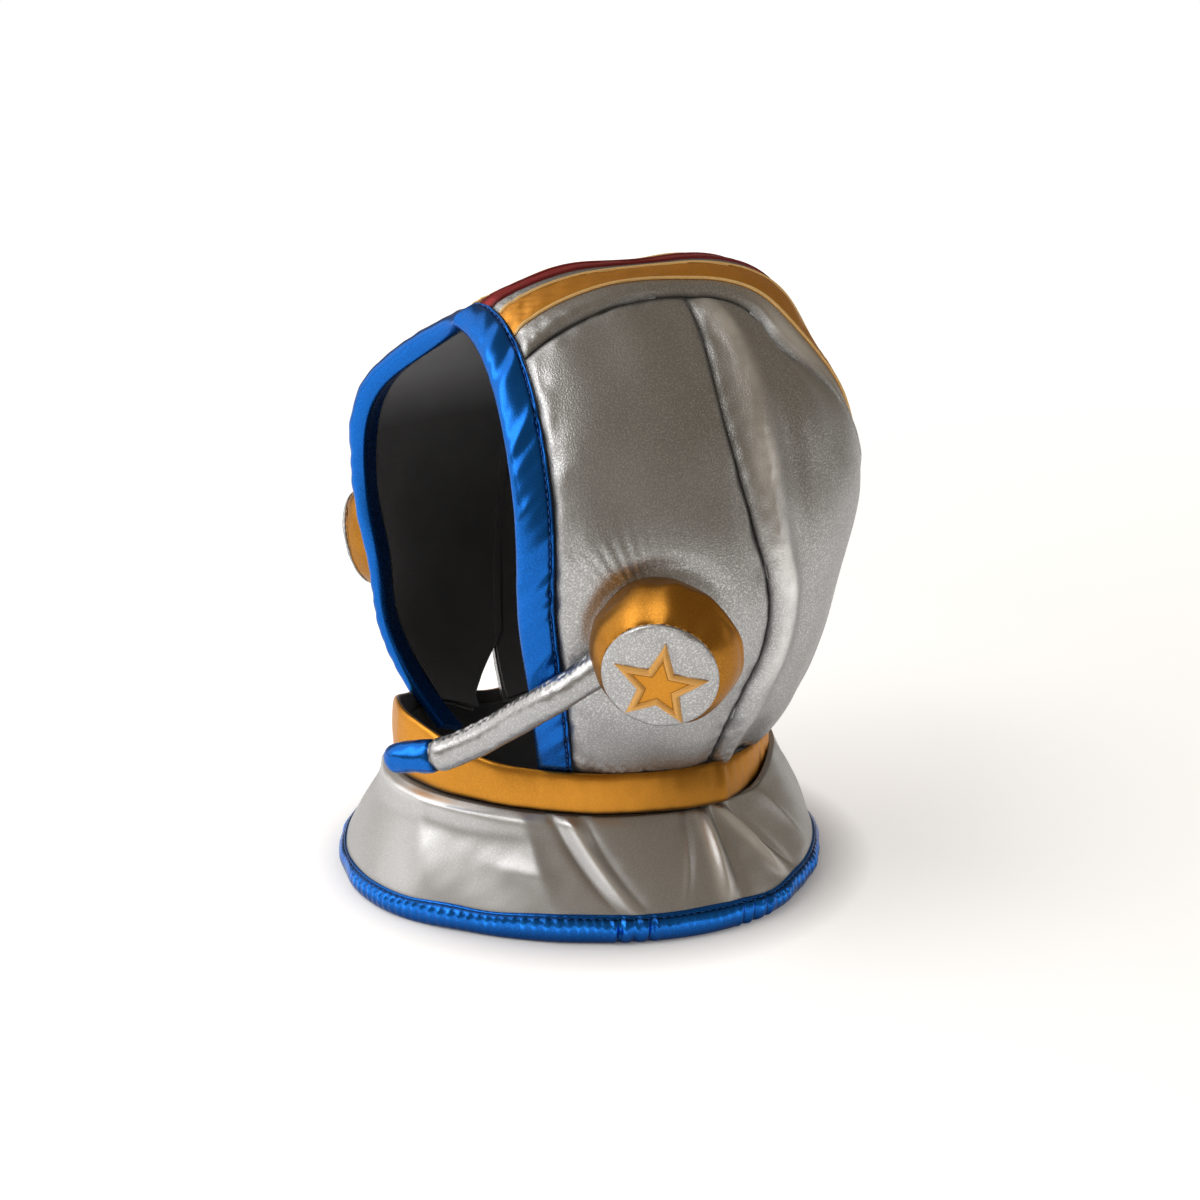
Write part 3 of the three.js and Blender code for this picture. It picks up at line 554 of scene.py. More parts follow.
def ripple(points, name, seed=0):
    """Waves with the height, length and seed that the table of ripples gives, the seed moved on."""
    height, length, first = RIPPLES[name]
    return height * waves(points, length, first + seed)


def circle(count, whole=360.0):
    """Even turns round a circle, without its end."""
    return np.linspace(0, whole, count + 1)[:-1]


def wrapped(turn, half=180.0):
    """A turn brought within half a circle of zero."""
    return (turn + half) % (2 * half) - half


def closed(rows):
    """Rows with the first one again at the end."""
    return np.concatenate([rows, rows[:1]])


def run_along(points, axis=0):
    """Distance along a line of points, or along a grid's lines of one axis, from the first point."""
    step = np.linalg.norm(np.diff(points, axis=axis), axis=-1)
    pad = [(0, 0)] * step.ndim
    pad[axis] = (1, 0)
    return np.cumsum(np.pad(step, pad), axis=axis)


def on_path(at, run, points):
    """Points, or other triples, at distances along a line whose own points are at the distances run."""
    return np.stack([np.interp(at, run, points[:, k]) for k in range(3)], axis=-1)


def millimetres(length):
    """A property's length, which is in metres, in millimetres."""
    return length / METRES


# Hood surface


profile_radius = smooth_table(HOOD_PROFILE, 360)
crown_half = smooth_table(CROWN_SEAM)
hem_reach = smooth_table(HEM_OUTLINE, 360)
band_lift = smooth_table(BAND_LIFT, 360)
collar_out = smooth_table(COLLAR_TOP_OUT, 360)
collar_rise = smooth_table(COLLAR_TOP_RISE, 360)
face_dome = smooth_table(FACE_DOME)


def outward(azimuth):
    """Level directions at azimuths."""
    turn = np.radians(azimuth)
    return stack(np.sin(turn), -np.cos(turn), np.zeros_like(turn))


def frame_shift():
    """The step from the hood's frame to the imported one: the hem reaches furthest left and furthest
    forward at places that are known in both."""
    low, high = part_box("hem_binding")
    azimuth = np.arange(0, 360, 0.5)
    edge = HEM_CENTRE + outward(azimuth) * (hem_reach(azimuth) + HEM_PROUD)[:, None]
    return np.array([high[0] / METRES - edge[:, 0].max(), low[1] / METRES - edge[:, 1].min(), 0.0])


FRAME_SHIFT = frame_shift()


def packed(points):
    """Points of the hood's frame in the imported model's frame, in metres."""
    return (points + FRAME_SHIFT) * METRES


def hood_angle(y, z):
    """The arch angle of a place of the side view, in degrees."""
    return np.degrees(np.arctan2(z - HOOD_CENTRE_Z, y - HOOD_CENTRE_Y))


def neck_narrowing(z):
    """The share of the width left at a height: a smooth fall from the taper's top to its bottom."""
    s = ramp(z, NECK_TAPER["top"], NECK_TAPER["bottom"])
    return 1 - NECK_TAPER["share"] * s * s * (3 - s) / 2


def arch_reach(y, z):
    """Distance from the crosswise axis as a share of the middle line's distance."""
    return np.hypot(y - HOOD_CENTRE_Y, z - HOOD_CENTRE_Z) / profile_radius(hood_angle(y, z))


def hood_field(p):
    """Zero on the hood and negative inside: a superellipse of the crosswise share and the arch share."""
    across = np.abs(p[..., 0]) / (HOOD_HALF_WIDTH * neck_narrowing(p[..., 2]))
    reach = arch_reach(p[..., 1], p[..., 2])
    return (across**ARCH_EXPONENT + reach**ARCH_EXPONENT) ** (1 / ARCH_EXPONENT) - 1


def hood_gradient(p):
    """The field's slope, from its difference over a short step each way along each axis."""
    slopes = [hood_field(p + step) - hood_field(p - step) for step in np.eye(3) * PROBE]
    return np.stack(slopes, axis=-1) / (2 * PROBE)


def hood_normal(p):
    """The direction straight out of the hood."""
    return unit(hood_gradient(p))


def settle(p):
    """Points brought to the hood surface by Newton steps along the field's slope."""
    for _ in range(SETTLE_ROUNDS):
        slope = hood_gradient(p)
        p = p - slope * (hood_field(p) / (slope**2).sum(axis=-1))[..., None]
    return p


def side_point(side, y, z):
    """The side of the hood above a place of the side view."""
    rest = np.maximum(1 - arch_reach(y, z) ** ARCH_EXPONENT, 0)
    x = side * HOOD_HALF_WIDTH * rest ** (1 / ARCH_EXPONENT) * neck_narrowing(z)
    return stack(x, y, z)


def arch_point(angle, across):
    """The point of the arch at an angle, a crosswise distance from the middle."""
    share = 1 - (np.abs(across) / HOOD_HALF_WIDTH) ** ARCH_EXPONENT
    reach = profile_radius(angle) * share ** (1 / ARCH_EXPONENT)
    y = HOOD_CENTRE_Y + reach * np.cos(np.radians(angle))
    z = HOOD_CENTRE_Z + reach * np.sin(np.radians(angle))
    return stack(across * neck_narrowing(z), y, z)


def dent_depth(p):
    """How far the cloth is pushed in at surface points: the sum of round humps."""
    depth = np.zeros(p.shape[:-1])
    for dent in DENTS:
        centre = arch_point(np.array(dent["angle"]), np.array(dent["across"]))
        away = np.linalg.norm(p - centre, axis=-1) / dent["radius"]
        depth += dent["depth"] * np.exp(-2 * away * away)
    return depth


def ridge_height(p):
    """The forehead's crease: highest at the face opening, and sharp across."""
    across = np.exp(-np.abs(p[..., 0]) / RIDGE["width"])
    return RIDGE["height"] * across * bump(p[..., 1] - FOLD_APEX_Y, RIDGE["length"])


def raised(p, rise):
    """Surface points moved along the normal, less the dents in the cloth."""
    lift = rise - dent_depth(p) + ridge_height(p)
    return p + hood_normal(p) * lift[..., None]


def neck_line(x, y):
    """Height of the neck line: a tilted plane, less a dip on the wearer's right."""
    dip = CLOSURE_DIP["depth"] * bump(y - CLOSURE_DIP["y"], CLOSURE_DIP["spread"])
    dip = np.where(x < 0, dip, 0) * np.minimum(np.abs(x) / CLOSURE_DIP["from"], 1)
    return NECK_HEIGHT - NECK_FALL * (y - NECK_CENTRE[1]) - dip


def above_neck(p):
    """Height of points over the neck line."""
    return p[..., 2] - neck_line(p[..., 0], p[..., 1])


FOLD_APEX_Z = float(
    bisect(lambda z: hood_field(stack(0.0, FOLD_APEX_Y, z)), HOOD_CENTRE_Z, 2 * HOOD_CENTRE_Z)
)


def fold_point(station):
    """The fold line: station 0 at the top of the opening, plus or minus 1 near the neck. In the side
    view it is a quarter wave in height, with a bow that is fullest half way."""
    station = np.asarray(station, float)
    right = station < 0
    v = np.cos(np.pi / 2 * station)
    foot = np.where(right, FOLD_FOOT_Y[-1], FOLD_FOOT_Y[1])
    bow = np.where(right, FOLD_BOW[-1], FOLD_BOW[1])
    y = mix(foot, FOLD_APEX_Y, v) + bow * 4 * v * (1 - v)
    z = mix(FOLD_FOOT_Z, FOLD_APEX_Z, v)
    return settle(side_point(np.sign(station), y, z))


def behind_fold(station, distance=PANEL_START):
    """The surface point a distance back from the fold line."""
    edge = fold_point(station)
    normal = hood_normal(edge)
    back = np.array([0.0, 1.0, 0.0]) - normal * normal[..., 1:2]
    return settle(edge + unit(back) * np.asarray(distance, float)[..., None])


# Panel grids, as arrays (row, column, 3)


def front_angle(share):
    """The arch angle at which a line of the crown meets the binding."""
    side = np.sign(share)

    def excess(station):
        p = behind_fold(side * station)
        return np.abs(p[..., 0]) - np.abs(share) * crown_half(hood_angle(p[..., 1], p[..., 2]))

    p = behind_fold(side * bisect(excess, 0.0, 1.0))
    return hood_angle(p[..., 1], p[..., 2])


def nape_angle(share):
    """The arch angle at which a line of the crown goes under the neck band."""

    def sunk(down):
        return -PANEL_TUCK - above_neck(arch_point(-down, share * crown_half(-down)))

    return -bisect(sunk, 5.0, 75.0)


def crown_lines(shares, places):
    """Lines of the crown from the binding to the nape: a row for each place, a column for each share."""
    shares = np.asarray(shares, float)
    angle = mix(front_angle(shares), nape_angle(shares), np.asarray(places)[:, None])
    return arch_point(angle, shares * crown_half(angle))


def crown_edge(side, places):
    """Points beside the crown, on the far side of its seam's gap."""
    return crown_lines([side * (1 + SEAM_SHARE)], places)[:, 0]


def crown_place(test, high):
    """The place along the crown's left edge where a test of the edge's points turns positive."""
    edge = np.ones(1)
    front, nape = front_angle(edge)[0], nape_angle(edge)[0]

    def at(place):
        angle = mix(front, nape, place)
        return test(arch_point(angle, crown_half(angle)))

    return float(bisect(at, 0.0, high))


SEAM_PLACE = crown_place(lambda p: p[..., 1] - SIDE_SEAM_TOP_Y, 0.5)
CORNER_PLACE = crown_place(lambda p: BACK_CORNER_ANGLE - hood_angle(p[..., 1], p[..., 2]), 1.0)


def side_seam(side, v, shift, slit):
    """The seam of one side in the side view, from the neck up to the crown. With a slit it parts from the
    panel behind it near the neck, where the hood opens."""
    seam_y = smooth_table(SIDE_SEAM[side])
    top = crown_edge(side, [SEAM_PLACE])[0]
    neck_z = neck_line(side * HOOD_HALF_WIDTH, seam_y(NECK_HEIGHT))
    z = mix(neck_z - PANEL_TUCK, top[2], v)
    opened = slit * ramp(z, neck_z + CLOSURE_SLIT["height"], neck_z)
    y = seam_y(z) + v * (top[1] - seam_y(top[2])) + shift - opened
    return np.stack([y, z], axis=-1)


def side_patch(side, top, front, rear, u, v):
    """A patch of the hood's side between edges of the side view: across plus upward, less the bilinear
    corners. Its foot is straight, plus the rise of the neck line."""
    foot_y, straight = mix(front[0], rear[0], u[:, None]).T
    ends = neck_line(side * HOOD_HALF_WIDTH, np.array([front[0, 0], rear[0, 0]]))
    foot_rise = neck_line(side * HOOD_HALF_WIDTH, foot_y) - mix(*ends, u)
    bottom = np.stack([foot_y, straight + foot_rise], axis=-1)
    u = u[None, :, None]
    v = v[:, None, None]
    across = mix(front[:, None], rear[:, None], u)
    upward = mix(bottom[None], top[None], v)
    corners = mix(mix(front[0], rear[0], u), mix(front[-1], rear[-1], u), v)
    flat = across + upward - corners
    return side_point(side, flat[..., 0], flat[..., 1])


def places_of(grid):
    """Places from 0 to 1 along a grid's columns, and up its rows, which crowd at the foot."""
    rows, columns = grid
    return np.linspace(0, 1, columns), np.linspace(0, 1, rows) ** FOOT_CROWDING


def front_panel_grid(side):
    """From the binding back to the side seam."""
    u, v = places_of(FRONT_GRID)
    top = crown_edge(side, u * SEAM_PLACE)[:, 1:]
    foot = bisect(lambda station: -PANEL_TUCK - above_neck(behind_fold(side * station)), 0.7, 1.2)
    head = bisect(lambda station: top[0, 1] - behind_fold(side * station)[..., 2], 0.05, 0.9)
    front = behind_fold(side * mix(foot, head, v))[:, 1:]
    front[-1] = top[0]
    rear = side_seam(side, v, -SEAM_GAP / 2, CLOSURE_SLIT["width"] if side < 0 else 0.0)
    return side_patch(side, top, front, rear, u, v)


def back_panel_grid(side):
    """From the side seam back to the crown's edge."""
    u, v = places_of(BACK_GRID)
    top = crown_edge(side, mix(SEAM_PLACE, CORNER_PLACE, u))[:, 1:]
    rear = crown_edge(side, mix(1.0, CORNER_PLACE, v))[:, 1:]
    front = side_seam(side, v, SEAM_GAP / 2, 0.0)
    return side_patch(side, top, front, rear, u, v)


@functools.lru_cache(maxsize=None)
def panel_grids():
    """The stem of each panel's name, and its grid."""
    rows, columns = CROWN_GRID
    shares = np.linspace(-1, 1, columns) * (1 - SEAM_SHARE)
    grids = [("crown", crown_lines(shares, np.linspace(0, 1, rows)))]
    for end, side in ENDS:
        grids.append((f"front_side_{end}", front_panel_grid(side)))
        grids.append((f"back_side_{end}", back_panel_grid(side)))
    return grids


# Meshes


class Shape:
    """Patches of one mesh: each is a grid of points with its own map and cloth, welded into one skin."""

    def __init__(self):
        self.points = []
        self.corners = []
        self.maps = []
        self.cloths = []
        self.marks = []
        self.size = 0

    def patch(self, points, wrap=False, cloth=0, mark=0.0):
        """Adds a grid (row, column, 3). With wrap the last column joins the first one. The map follows
        the run along the grid lines. cloth is the material's number, for all faces or for each, and mark
        is the seam mark, for all points or for each."""
        points = np.asarray(points, float)
        mark = np.broadcast_to(mark, points.shape[:2])
        if wrap:
            points = np.concatenate([points, points[:, :1]], axis=1)
            mark = np.concatenate([mark, mark[:, :1]], axis=1)
        rows, columns = points.shape[:2]
        r, c = np.meshgrid(np.arange(rows - 1), np.arange(columns - 1), indexing="ij")
        first = (r * columns + c).ravel()
        quads = np.stack([first, first + 1, first + columns + 1, first + columns], axis=-1)
        self.corners.append(quads + self.size)
        self.points.append(points.reshape(-1, 3))
        self.maps.append(np.stack([run_along(points, 1), run_along(points, 0)], axis=-1).reshape(-1, 2))
        self.marks.append(mark.ravel())
        self.cloths.append(np.broadcast_to(cloth, (rows - 1, columns - 1)).ravel())
        self.size += rows * columns
        return self

    def wall(self, outer, inner, cloth=0, mark=0.0):
        """A closed wall between two grids of the same size, with its four rims. cloth and mark are those
        of its outer side."""
        self.patch(outer, cloth=cloth, mark=mark)
        self.patch(inner[:, ::-1])
        for a, b in ((outer[0], inner[0]), (inner[-1], outer[-1])):
            self.patch(np.stack([b, a]))
        for a, b in ((outer[:, 0], inner[:, 0]), (inner[:, -1], outer[:, -1])):
            self.patch(np.stack([a, b]))
        return self


def weld(points, corners):
    """Equal points as one, and the corners' places among the new ones."""
    keys = np.round(points * WELD_STEPS).astype(np.int64)
    _, first, index = np.unique(keys, axis=0, return_index=True, return_inverse=True)
    return points[first], index.reshape(-1)[corners]


def make_piece(name, shape, cloths, nodes=(), sharp=SHARP_ANGLE):
    """An object from a shape: welded, facing outwards, with its map and marks, riding on the body."""
    corners = np.concatenate(shape.corners)
    maps = np.concatenate(shape.maps)[corners]
    marks = np.concatenate(shape.marks)[corners]
    points, faces = weld(np.concatenate(shape.points), corners)
    a, b, c, d = (points[faces[:, k]] for k in range(4))
    volume = (np.cross(b - a, c - a) * a).sum() + (np.cross(c - a, d - a) * a).sum()
    if volume < 0:
        faces, maps, marks = faces[:, ::-1], maps[:, ::-1], marks[:, ::-1]
    keep = faces != np.roll(faces, 1, axis=1)
    whole = keep.sum(axis=1) >= 3
    faces, maps, marks, keep = faces[whole], maps[whole], marks[whole], keep[whole]
    totals = keep.sum(axis=1)
    starts = np.cumsum(totals) - totals
    mesh = bpy.data.meshes.new(name)
    mesh.vertices.add(len(points))
    mesh.vertices.foreach_set("co", packed(points).ravel())
    mesh.loops.add(int(totals.sum()))
    mesh.loops.foreach_set("vertex_index", faces[keep].astype(np.int32))
    mesh.polygons.add(len(totals))
    mesh.polygons.foreach_set("loop_start", starts.astype(np.int32))
    mesh.polygons.foreach_set("material_index", np.concatenate(shape.cloths)[whole].astype(np.int32))
    mesh.polygons.foreach_set("use_smooth", np.ones(len(totals), bool))
    mesh.update(calc_edges=True)
    layer = mesh.uv_layers.new(name="cloth_map")
    layer.uv.foreach_set("vector", (maps[keep] * METRES).astype(np.float32).ravel())
    # The seam attribute carries the seam mark into the colour: dark seams, painted shade and painted
    # highlights.
    seam = mesh.attributes.new("seam", "FLOAT", "CORNER")
    seam.data.foreach_set("value", marks[keep].astype(np.float32))
    mesh.validate()
    mesh.set_sharp_from_angle(angle=math.radians(sharp))
    for cloth in cloths:
        mesh.materials.append(bpy.data.materials[cloth])
    piece = bpy.data.objects.new(name, mesh)
    bpy.context.scene.collection.objects.link(piece)
    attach(piece, BODY)
    if nodes:
        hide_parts(*nodes)
    return piece


def ring_shape(sections, cloth=0, mark=0.0):
    """Closed sections, an array (section, point, 3), joined into a ring."""
    mark = np.broadcast_to(mark, sections.shape[:2])
    return Shape().patch(closed(sections), wrap=True, cloth=cloth, mark=closed(mark))


def bar_shape(sections, mark=0.0):
    """Closed sections joined into a bar, with a fan to the middle at each end."""
    shape = Shape().patch(sections, wrap=True, mark=mark)
    for end in (sections[0], sections[-1][::-1]):
        middle = np.broadcast_to(end.mean(axis=0), end.shape)
        shape.patch(np.stack([middle, end]), wrap=True)
    return shape


def section_points(rows, count):
    """A smooth closed section through (out, rise) rows, as an array of points."""
    return smooth_path(rows, circle(count, 1.0), closed_line=True)


def stitch_row(places, along, up, length, radius):
    """A row of stitches: short rounded threads at places, pointing along, half sunk below up."""
    turn = circle(STITCH_SIDES, 2 * np.pi)
    reach, girth = STITCH_FORM.T
    along = unit(along)
    up = unit(up - along * (up * along).sum(axis=-1, keepdims=True))
    side = np.cross(along, up)
    arch = (1 - reach**2) * radius * STITCH_ARCH
    shape = Shape()
    for k in range(len(places)):
        centre = places[k] + along[k] * (reach * length / 2)[:, None] + up[k] * arch[:, None]
        spoke = side[k] * np.cos(turn)[:, None] + up[k] * np.sin(turn)[:, None]
        shape.patch(centre[:, None] + spoke[None] * (girth * radius)[:, None, None], wrap=True)
    return shape


def sew(name, line, off_cloth, sizes, thread, length=0.66, girth=1.0):
    """A piece of stitches at an even pitch along a line of points. off_cloth gives the directions off the
    cloth at places, length is a share of the pitch and girth one of the thread's thickness."""
    pitch = millimetres(sizes.stitch_pitch)
    run = run_along(line)
    count = max(int(run[-1] / pitch), 1)
    at = (np.arange(count) + 0.5) * run[-1] / count
    place = on_path(at, run, line)
    along = on_path(at + pitch / 4, run, line) - on_path(at - pitch / 4, run, line)
    radius = girth * millimetres(sizes.stitch_radius)
    make_piece(name, stitch_row(place, along, off_cloth(place), length * pitch, radius), [thread])


def satin_border(gap, width):
    """The rounded rise of a satin-stitched border, by the distance from its cloth's edge."""
    return np.clip(1 - ((gap - width / 2) / (width / 2)) ** 2, 0, 1)


def declare_sheet(piece):
    """Reads the areas of a piece's faces, and does nothing more with them. Declares a piece as cloth
    cut to a rectangle, a ratio longer than wide, of the cloth's own area: half the skin of its thin
    closed mesh.
    """
    areas = np.zeros(len(piece.data.polygons))
    piece.data.polygons.foreach_get("area", areas)


# Materials


def feed(tree, socket, value):
    """Links a socket to another one, or sets its own value."""
    if isinstance(value, bpy.types.NodeSocket):
        tree.links.new(value, socket)
    else:
        socket.default_value = value


def set_inputs(tree, node, **values):
    """Sets or links a node's inputs by name, with _ for a blank."""
    for key, value in values.items():
        feed(tree, node.inputs[key.replace("_", " ")], value)
    return node


def add_node(tree, kind, settings=(), **values):
    """A shader node with its settings, and with its inputs set or linked by name."""
    node = tree.nodes.new(kind)
    for key, value in dict(settings).items():
        setattr(node, key, value)
    return set_inputs(tree, node, **values)


def math_node(tree, operation, a, b, kind="ShaderNodeMath"):
    """The sum, product or other result of two numbers, or of two vectors with the vector kind."""
    node = add_node(tree, kind, {"operation": operation})
    feed(tree, node.inputs[0], a)
    feed(tree, node.inputs[1], b)
    return node


def spread(tree, value, ends, to_ends=(0.0, 1.0)):
    """A value carried from one range to another, held at its ends."""
    node = add_node(
        tree, "ShaderNodeMapRange", Value=value,
        From_Min=ends[0], From_Max=ends[1], To_Min=to_ends[0], To_Max=to_ends[1],
    )
    return node.outputs["Result"]


def blend_colours(tree, factor, a, b):
    """The first colour where the factor is zero, and the second where it is one."""
    node = add_node(tree, "ShaderNodeMix", {"data_type": "RGBA"})
    for index, value in ((0, factor), (6, a), (7, b)):
        feed(tree, node.inputs[index], value)
    return node.outputs[2]


def tint(colour, share=1.0):
    """A share of a colour, opaque."""
    return (*(channel * share for channel in colour[:3]), 1.0)


def new_group(name, inputs, outputs):
    """An empty shader group with named value inputs and outputs."""
    group = bpy.data.node_groups.new(name, "ShaderNodeTree")
    for title, value in inputs.items():
        group.interface.new_socket(title, in_out="INPUT", socket_type="NodeSocketFloat").default_value = value
    for title in outputs:
        group.interface.new_socket(title, in_out="OUTPUT", socket_type="NodeSocketFloat")
    return group, group.nodes.new("NodeGroupInput").outputs, group.nodes.new("NodeGroupOutput")


def use_group(tree, name, **values):
    """A node for one of the shader groups."""
    return add_node(tree, "ShaderNodeGroup", {"node_tree": bpy.data.node_groups[name]}, **values)


def object_place(tree):
    """The place on the object, in metres."""
    return tree.nodes.new("ShaderNodeTexCoord").outputs["Object"]


def noise(tree, place, scale, detail):
    """A random pattern of about 0 to 1."""
    return add_node(tree, "ShaderNodeTexNoise", Vector=place, Scale=scale, Detail=detail).outputs[0]


def foil_grain_group():
    """Pressed grain of foil cloth: fine specks for the bump, the brightest of them as flecks, and slow
    clouds for the colour."""
    inputs = {"Scale": 1400.0, "Cloud Scale": 22.0}
    group, given, result = new_group("foil_grain", inputs, ["Height", "Fleck", "Cloud"])
    place = object_place(group)
    speck = noise(group, place, given["Scale"], 2.0)
    cloud = noise(group, place, given["Cloud Scale"], 3.0)
    fleck = spread(group, speck, (0.48, 0.66))
    set_inputs(group, result, Height=speck, Fleck=fleck, Cloud=spread(group, cloud, (0.3, 0.7)))


def cloth_waves(group, scale, direction, **values):
    """Waves across the cloth map in one direction."""
    place = add_node(group, "ShaderNodeUVMap", {"uv_map": "cloth_map"}).outputs[0]
    settings = {"bands_direction": direction}
    return add_node(group, "ShaderNodeTexWave", settings, Vector=place, Scale=scale, **values).outputs["Fac"]


def thread_group():
    """Threads laid side by side: waves across the cloth map, a little uneven."""
    group, given, result = new_group("thread_rows", {"Scale": 900.0}, ["Height"])
    set_inputs(group, result, Height=cloth_waves(group, given["Scale"], "X", Distortion=1.5, Detail=2.0))


def weave_group():
    """Plain weave: the product of two wave patterns at right angles on the cloth map."""
    group, given, result = new_group("plain_weave", {"Scale": 500.0}, ["Height"])
    rows = [cloth_waves(group, given["Scale"], direction, Distortion=0.8) for direction in "XY"]
    set_inputs(group, result, Height=math_node(group, "MULTIPLY", *rows).outputs[0])


def new_material(name):
    """A new material's node tree and its surface node."""
    material = bpy.data.materials.new(name)
    material.use_nodes = True
    return material.node_tree, material.node_tree.nodes["Principled BSDF"]


def relief(tree, height, strength, depth):
    """A normal that follows a pattern's height."""
    return add_node(tree, "ShaderNodeBump", Height=height, Strength=strength, Distance=depth).outputs[0]


def seam_shade(tree, colour, dark, light):
    """The colour, turned dark by a seam mark above zero, for dark seams and painted shade, and light by
    one below zero, for a painted highlight.
    """
    mark = add_node(tree, "ShaderNodeAttribute", {"attribute_name": "seam"}).outputs["Fac"]
    painted_sheen = math_node(tree, "MULTIPLY", mark, -1.0).outputs[0]
    return blend_colours(tree, painted_sheen, blend_colours(tree, mark, colour, dark), light)


def foil_material(name, colour, shares, roughness, metallic, scale, strength):
    """Foil cloth: a metallic skin with a pressed grain, cloudy colour, bright flecks, dark seams and
    painted shade, and painted highlights.
    """
    light, dark, fleck, shade, painted_sheen = (tint(colour, share) for share in shares)
    tree, surface = new_material(name)
    grain = use_group(tree, "foil_grain", Scale=scale).outputs
    tone = blend_colours(tree, grain["Cloud"], dark, light)
    tone = blend_colours(tree, grain["Fleck"], tone, fleck)
    set_inputs(
        tree, surface,
        Base_Color=seam_shade(tree, tone, shade, painted_sheen),
        Roughness=spread(tree, grain["Fleck"], (0.0, 1.0), roughness),
        Normal=relief(tree, grain["Height"], strength, FOIL_DEPTH),
        Metallic=metallic,
        Specular_Tint=FOIL_TINT,
    )


def satin_material(name, light, dark):
    """Satin stitch: shiny threads side by side across a border."""
    tree, surface = new_material(name)
    height = use_group(tree, "thread_rows").outputs["Height"]
    set_inputs(
        tree, surface,
        Base_Color=blend_colours(tree, height, dark, light),
        Roughness=spread(tree, height, (0.0, 1.0), (0.5, 0.32)),
        Normal=relief(tree, height, CLOTH_STRENGTH, CLOTH_DEPTH),
        Metallic=0.1,
    )


def lining_material(light, dark, crown):
    """Lining: plain-woven cloth, a little fuzzy, and paler inside the crown as painted light."""
    tree, surface = new_material("lining_weave")
    height = use_group(tree, "plain_weave").outputs["Height"]
    colour = blend_colours(tree, use_group(tree, "foil_grain").outputs["Cloud"], dark, light)
    level = add_node(tree, "ShaderNodeSeparateXYZ", Vector=object_place(tree)).outputs["Z"]
    set_inputs(
        tree, surface,
        # Paler above a height inside the crown: painted light.
        Base_Color=blend_colours(tree, spread(tree, level, LIT_LINING_HEIGHT), colour, crown),
        Roughness=spread(tree, height, (0.0, 1.0), (0.95, 0.8)),
        Normal=relief(tree, height, CLOTH_STRENGTH, CLOTH_DEPTH),
        Sheen_Weight=0.25,
    )


def make_materials(colours):
    """The shader groups and every cloth's material."""
    foil_grain_group()
    thread_group()
    weave_group()
    for name, colour, *look in FOILS:
        foil_material(name, getattr(colours, colour), *look)
    satin_material("gold_thread", tint(GOLD_THREAD), tint(colours.gold))
    satin_material("gold_border", *map(tint, GOLD_BORDER))
    satin_material("red_border", tint(colours.red), tint(colours.red, 0.6))
    satin_material("blue_thread", tint(colours.blue), tint(colours.blue, 0.5))
    lining_material(tint(colours.lining), tint(colours.lining, 0.8), tint(colours.crown_lining))


# Properties


class HoodSizes(PropertyGroup):
    """Sizes of the padding, seams and stitches that a maker would change."""

    padding: FloatProperty(
        name="Padding", description="How far a panel swells between its seams",
        default=0.0018, unit="LENGTH",
    )
    padding_reach: FloatProperty(
        name="Padding reach", description="How far from a seam a panel is full",
        default=0.008, unit="LENGTH",
    )
    seam_depth: FloatProperty(
        name="Seam depth", description="How far a seam pulls the cloth in",
        default=0.001, unit="LENGTH",
    )
    slow_wave: FloatProperty(
        name="Slow wave", description="Height of the panels' slow unevenness",
        default=0.0007, unit="LENGTH",
    )
    pucker: FloatProperty(
        name="Pucker", description="Height of the puckers along bindings",
        default=0.0004, unit="LENGTH",
    )
    hem_pucker: FloatProperty(
        name="Hem pucker", description="Distance between the hem's puckers",
        default=0.0042, unit="LENGTH",
    )
    stitch_pitch: FloatProperty(
        name="Stitch pitch", description="Distance between stitches",
        default=0.0034, unit="LENGTH",
    )
    stitch_radius: FloatProperty(
        name="Stitch radius", description="Half the thread's thickness",
        default=0.00024, unit="LENGTH",
    )
    satin_width: FloatProperty(
        name="Satin width", description="Width of the stitched borders",
        default=0.0028, unit="LENGTH",
    )
    satin_height: FloatProperty(
        name="Satin height", description="Height of the stitched borders",
        default=0.0013, unit="LENGTH",
    )


class HoodColours(PropertyGroup):
    """Colours of the cloths and the floor."""

    silver: FloatVectorProperty(
        name="Silver", description="Silver foil", subtype="COLOR", default=(0.406, 0.406, 0.406)
    )
    gold: FloatVectorProperty(
        name="Gold", description="Gold foil", subtype="COLOR", default=(0.66, 0.28, 0.033)
    )
    blue: FloatVectorProperty(
        name="Blue", description="Blue foil", subtype="COLOR", default=(0.008, 0.125, 0.5)
    )
    red: FloatVectorProperty(
        name="Red", description="Red foil", subtype="COLOR", default=(0.24, 0.012, 0.015)
    )
    lining: FloatVectorProperty(
        name="Lining", description="Dark lining of the sides", subtype="COLOR", default=(0.072, 0.07, 0.071)
    )
    # A paler copy of the lining for the top of the crown: painted light.
    crown_lining: FloatVectorProperty(
        name="Crown lining", description="Paler lining of the crown", subtype="COLOR",
        default=(0.28, 0.275, 0.285),
    )
    floor: FloatVectorProperty(
        name="Floor", description="Pale floor", subtype="COLOR", default=(0.82, 0.82, 0.82)
    )


# Panels


def fold_line(share, across, places, width):
    """A ridge up a panel, one on its line. The line's places, from the first column, run from foot to top."""
    return bump(across - np.interp(share, np.linspace(0, 1, len(places)), places), width)


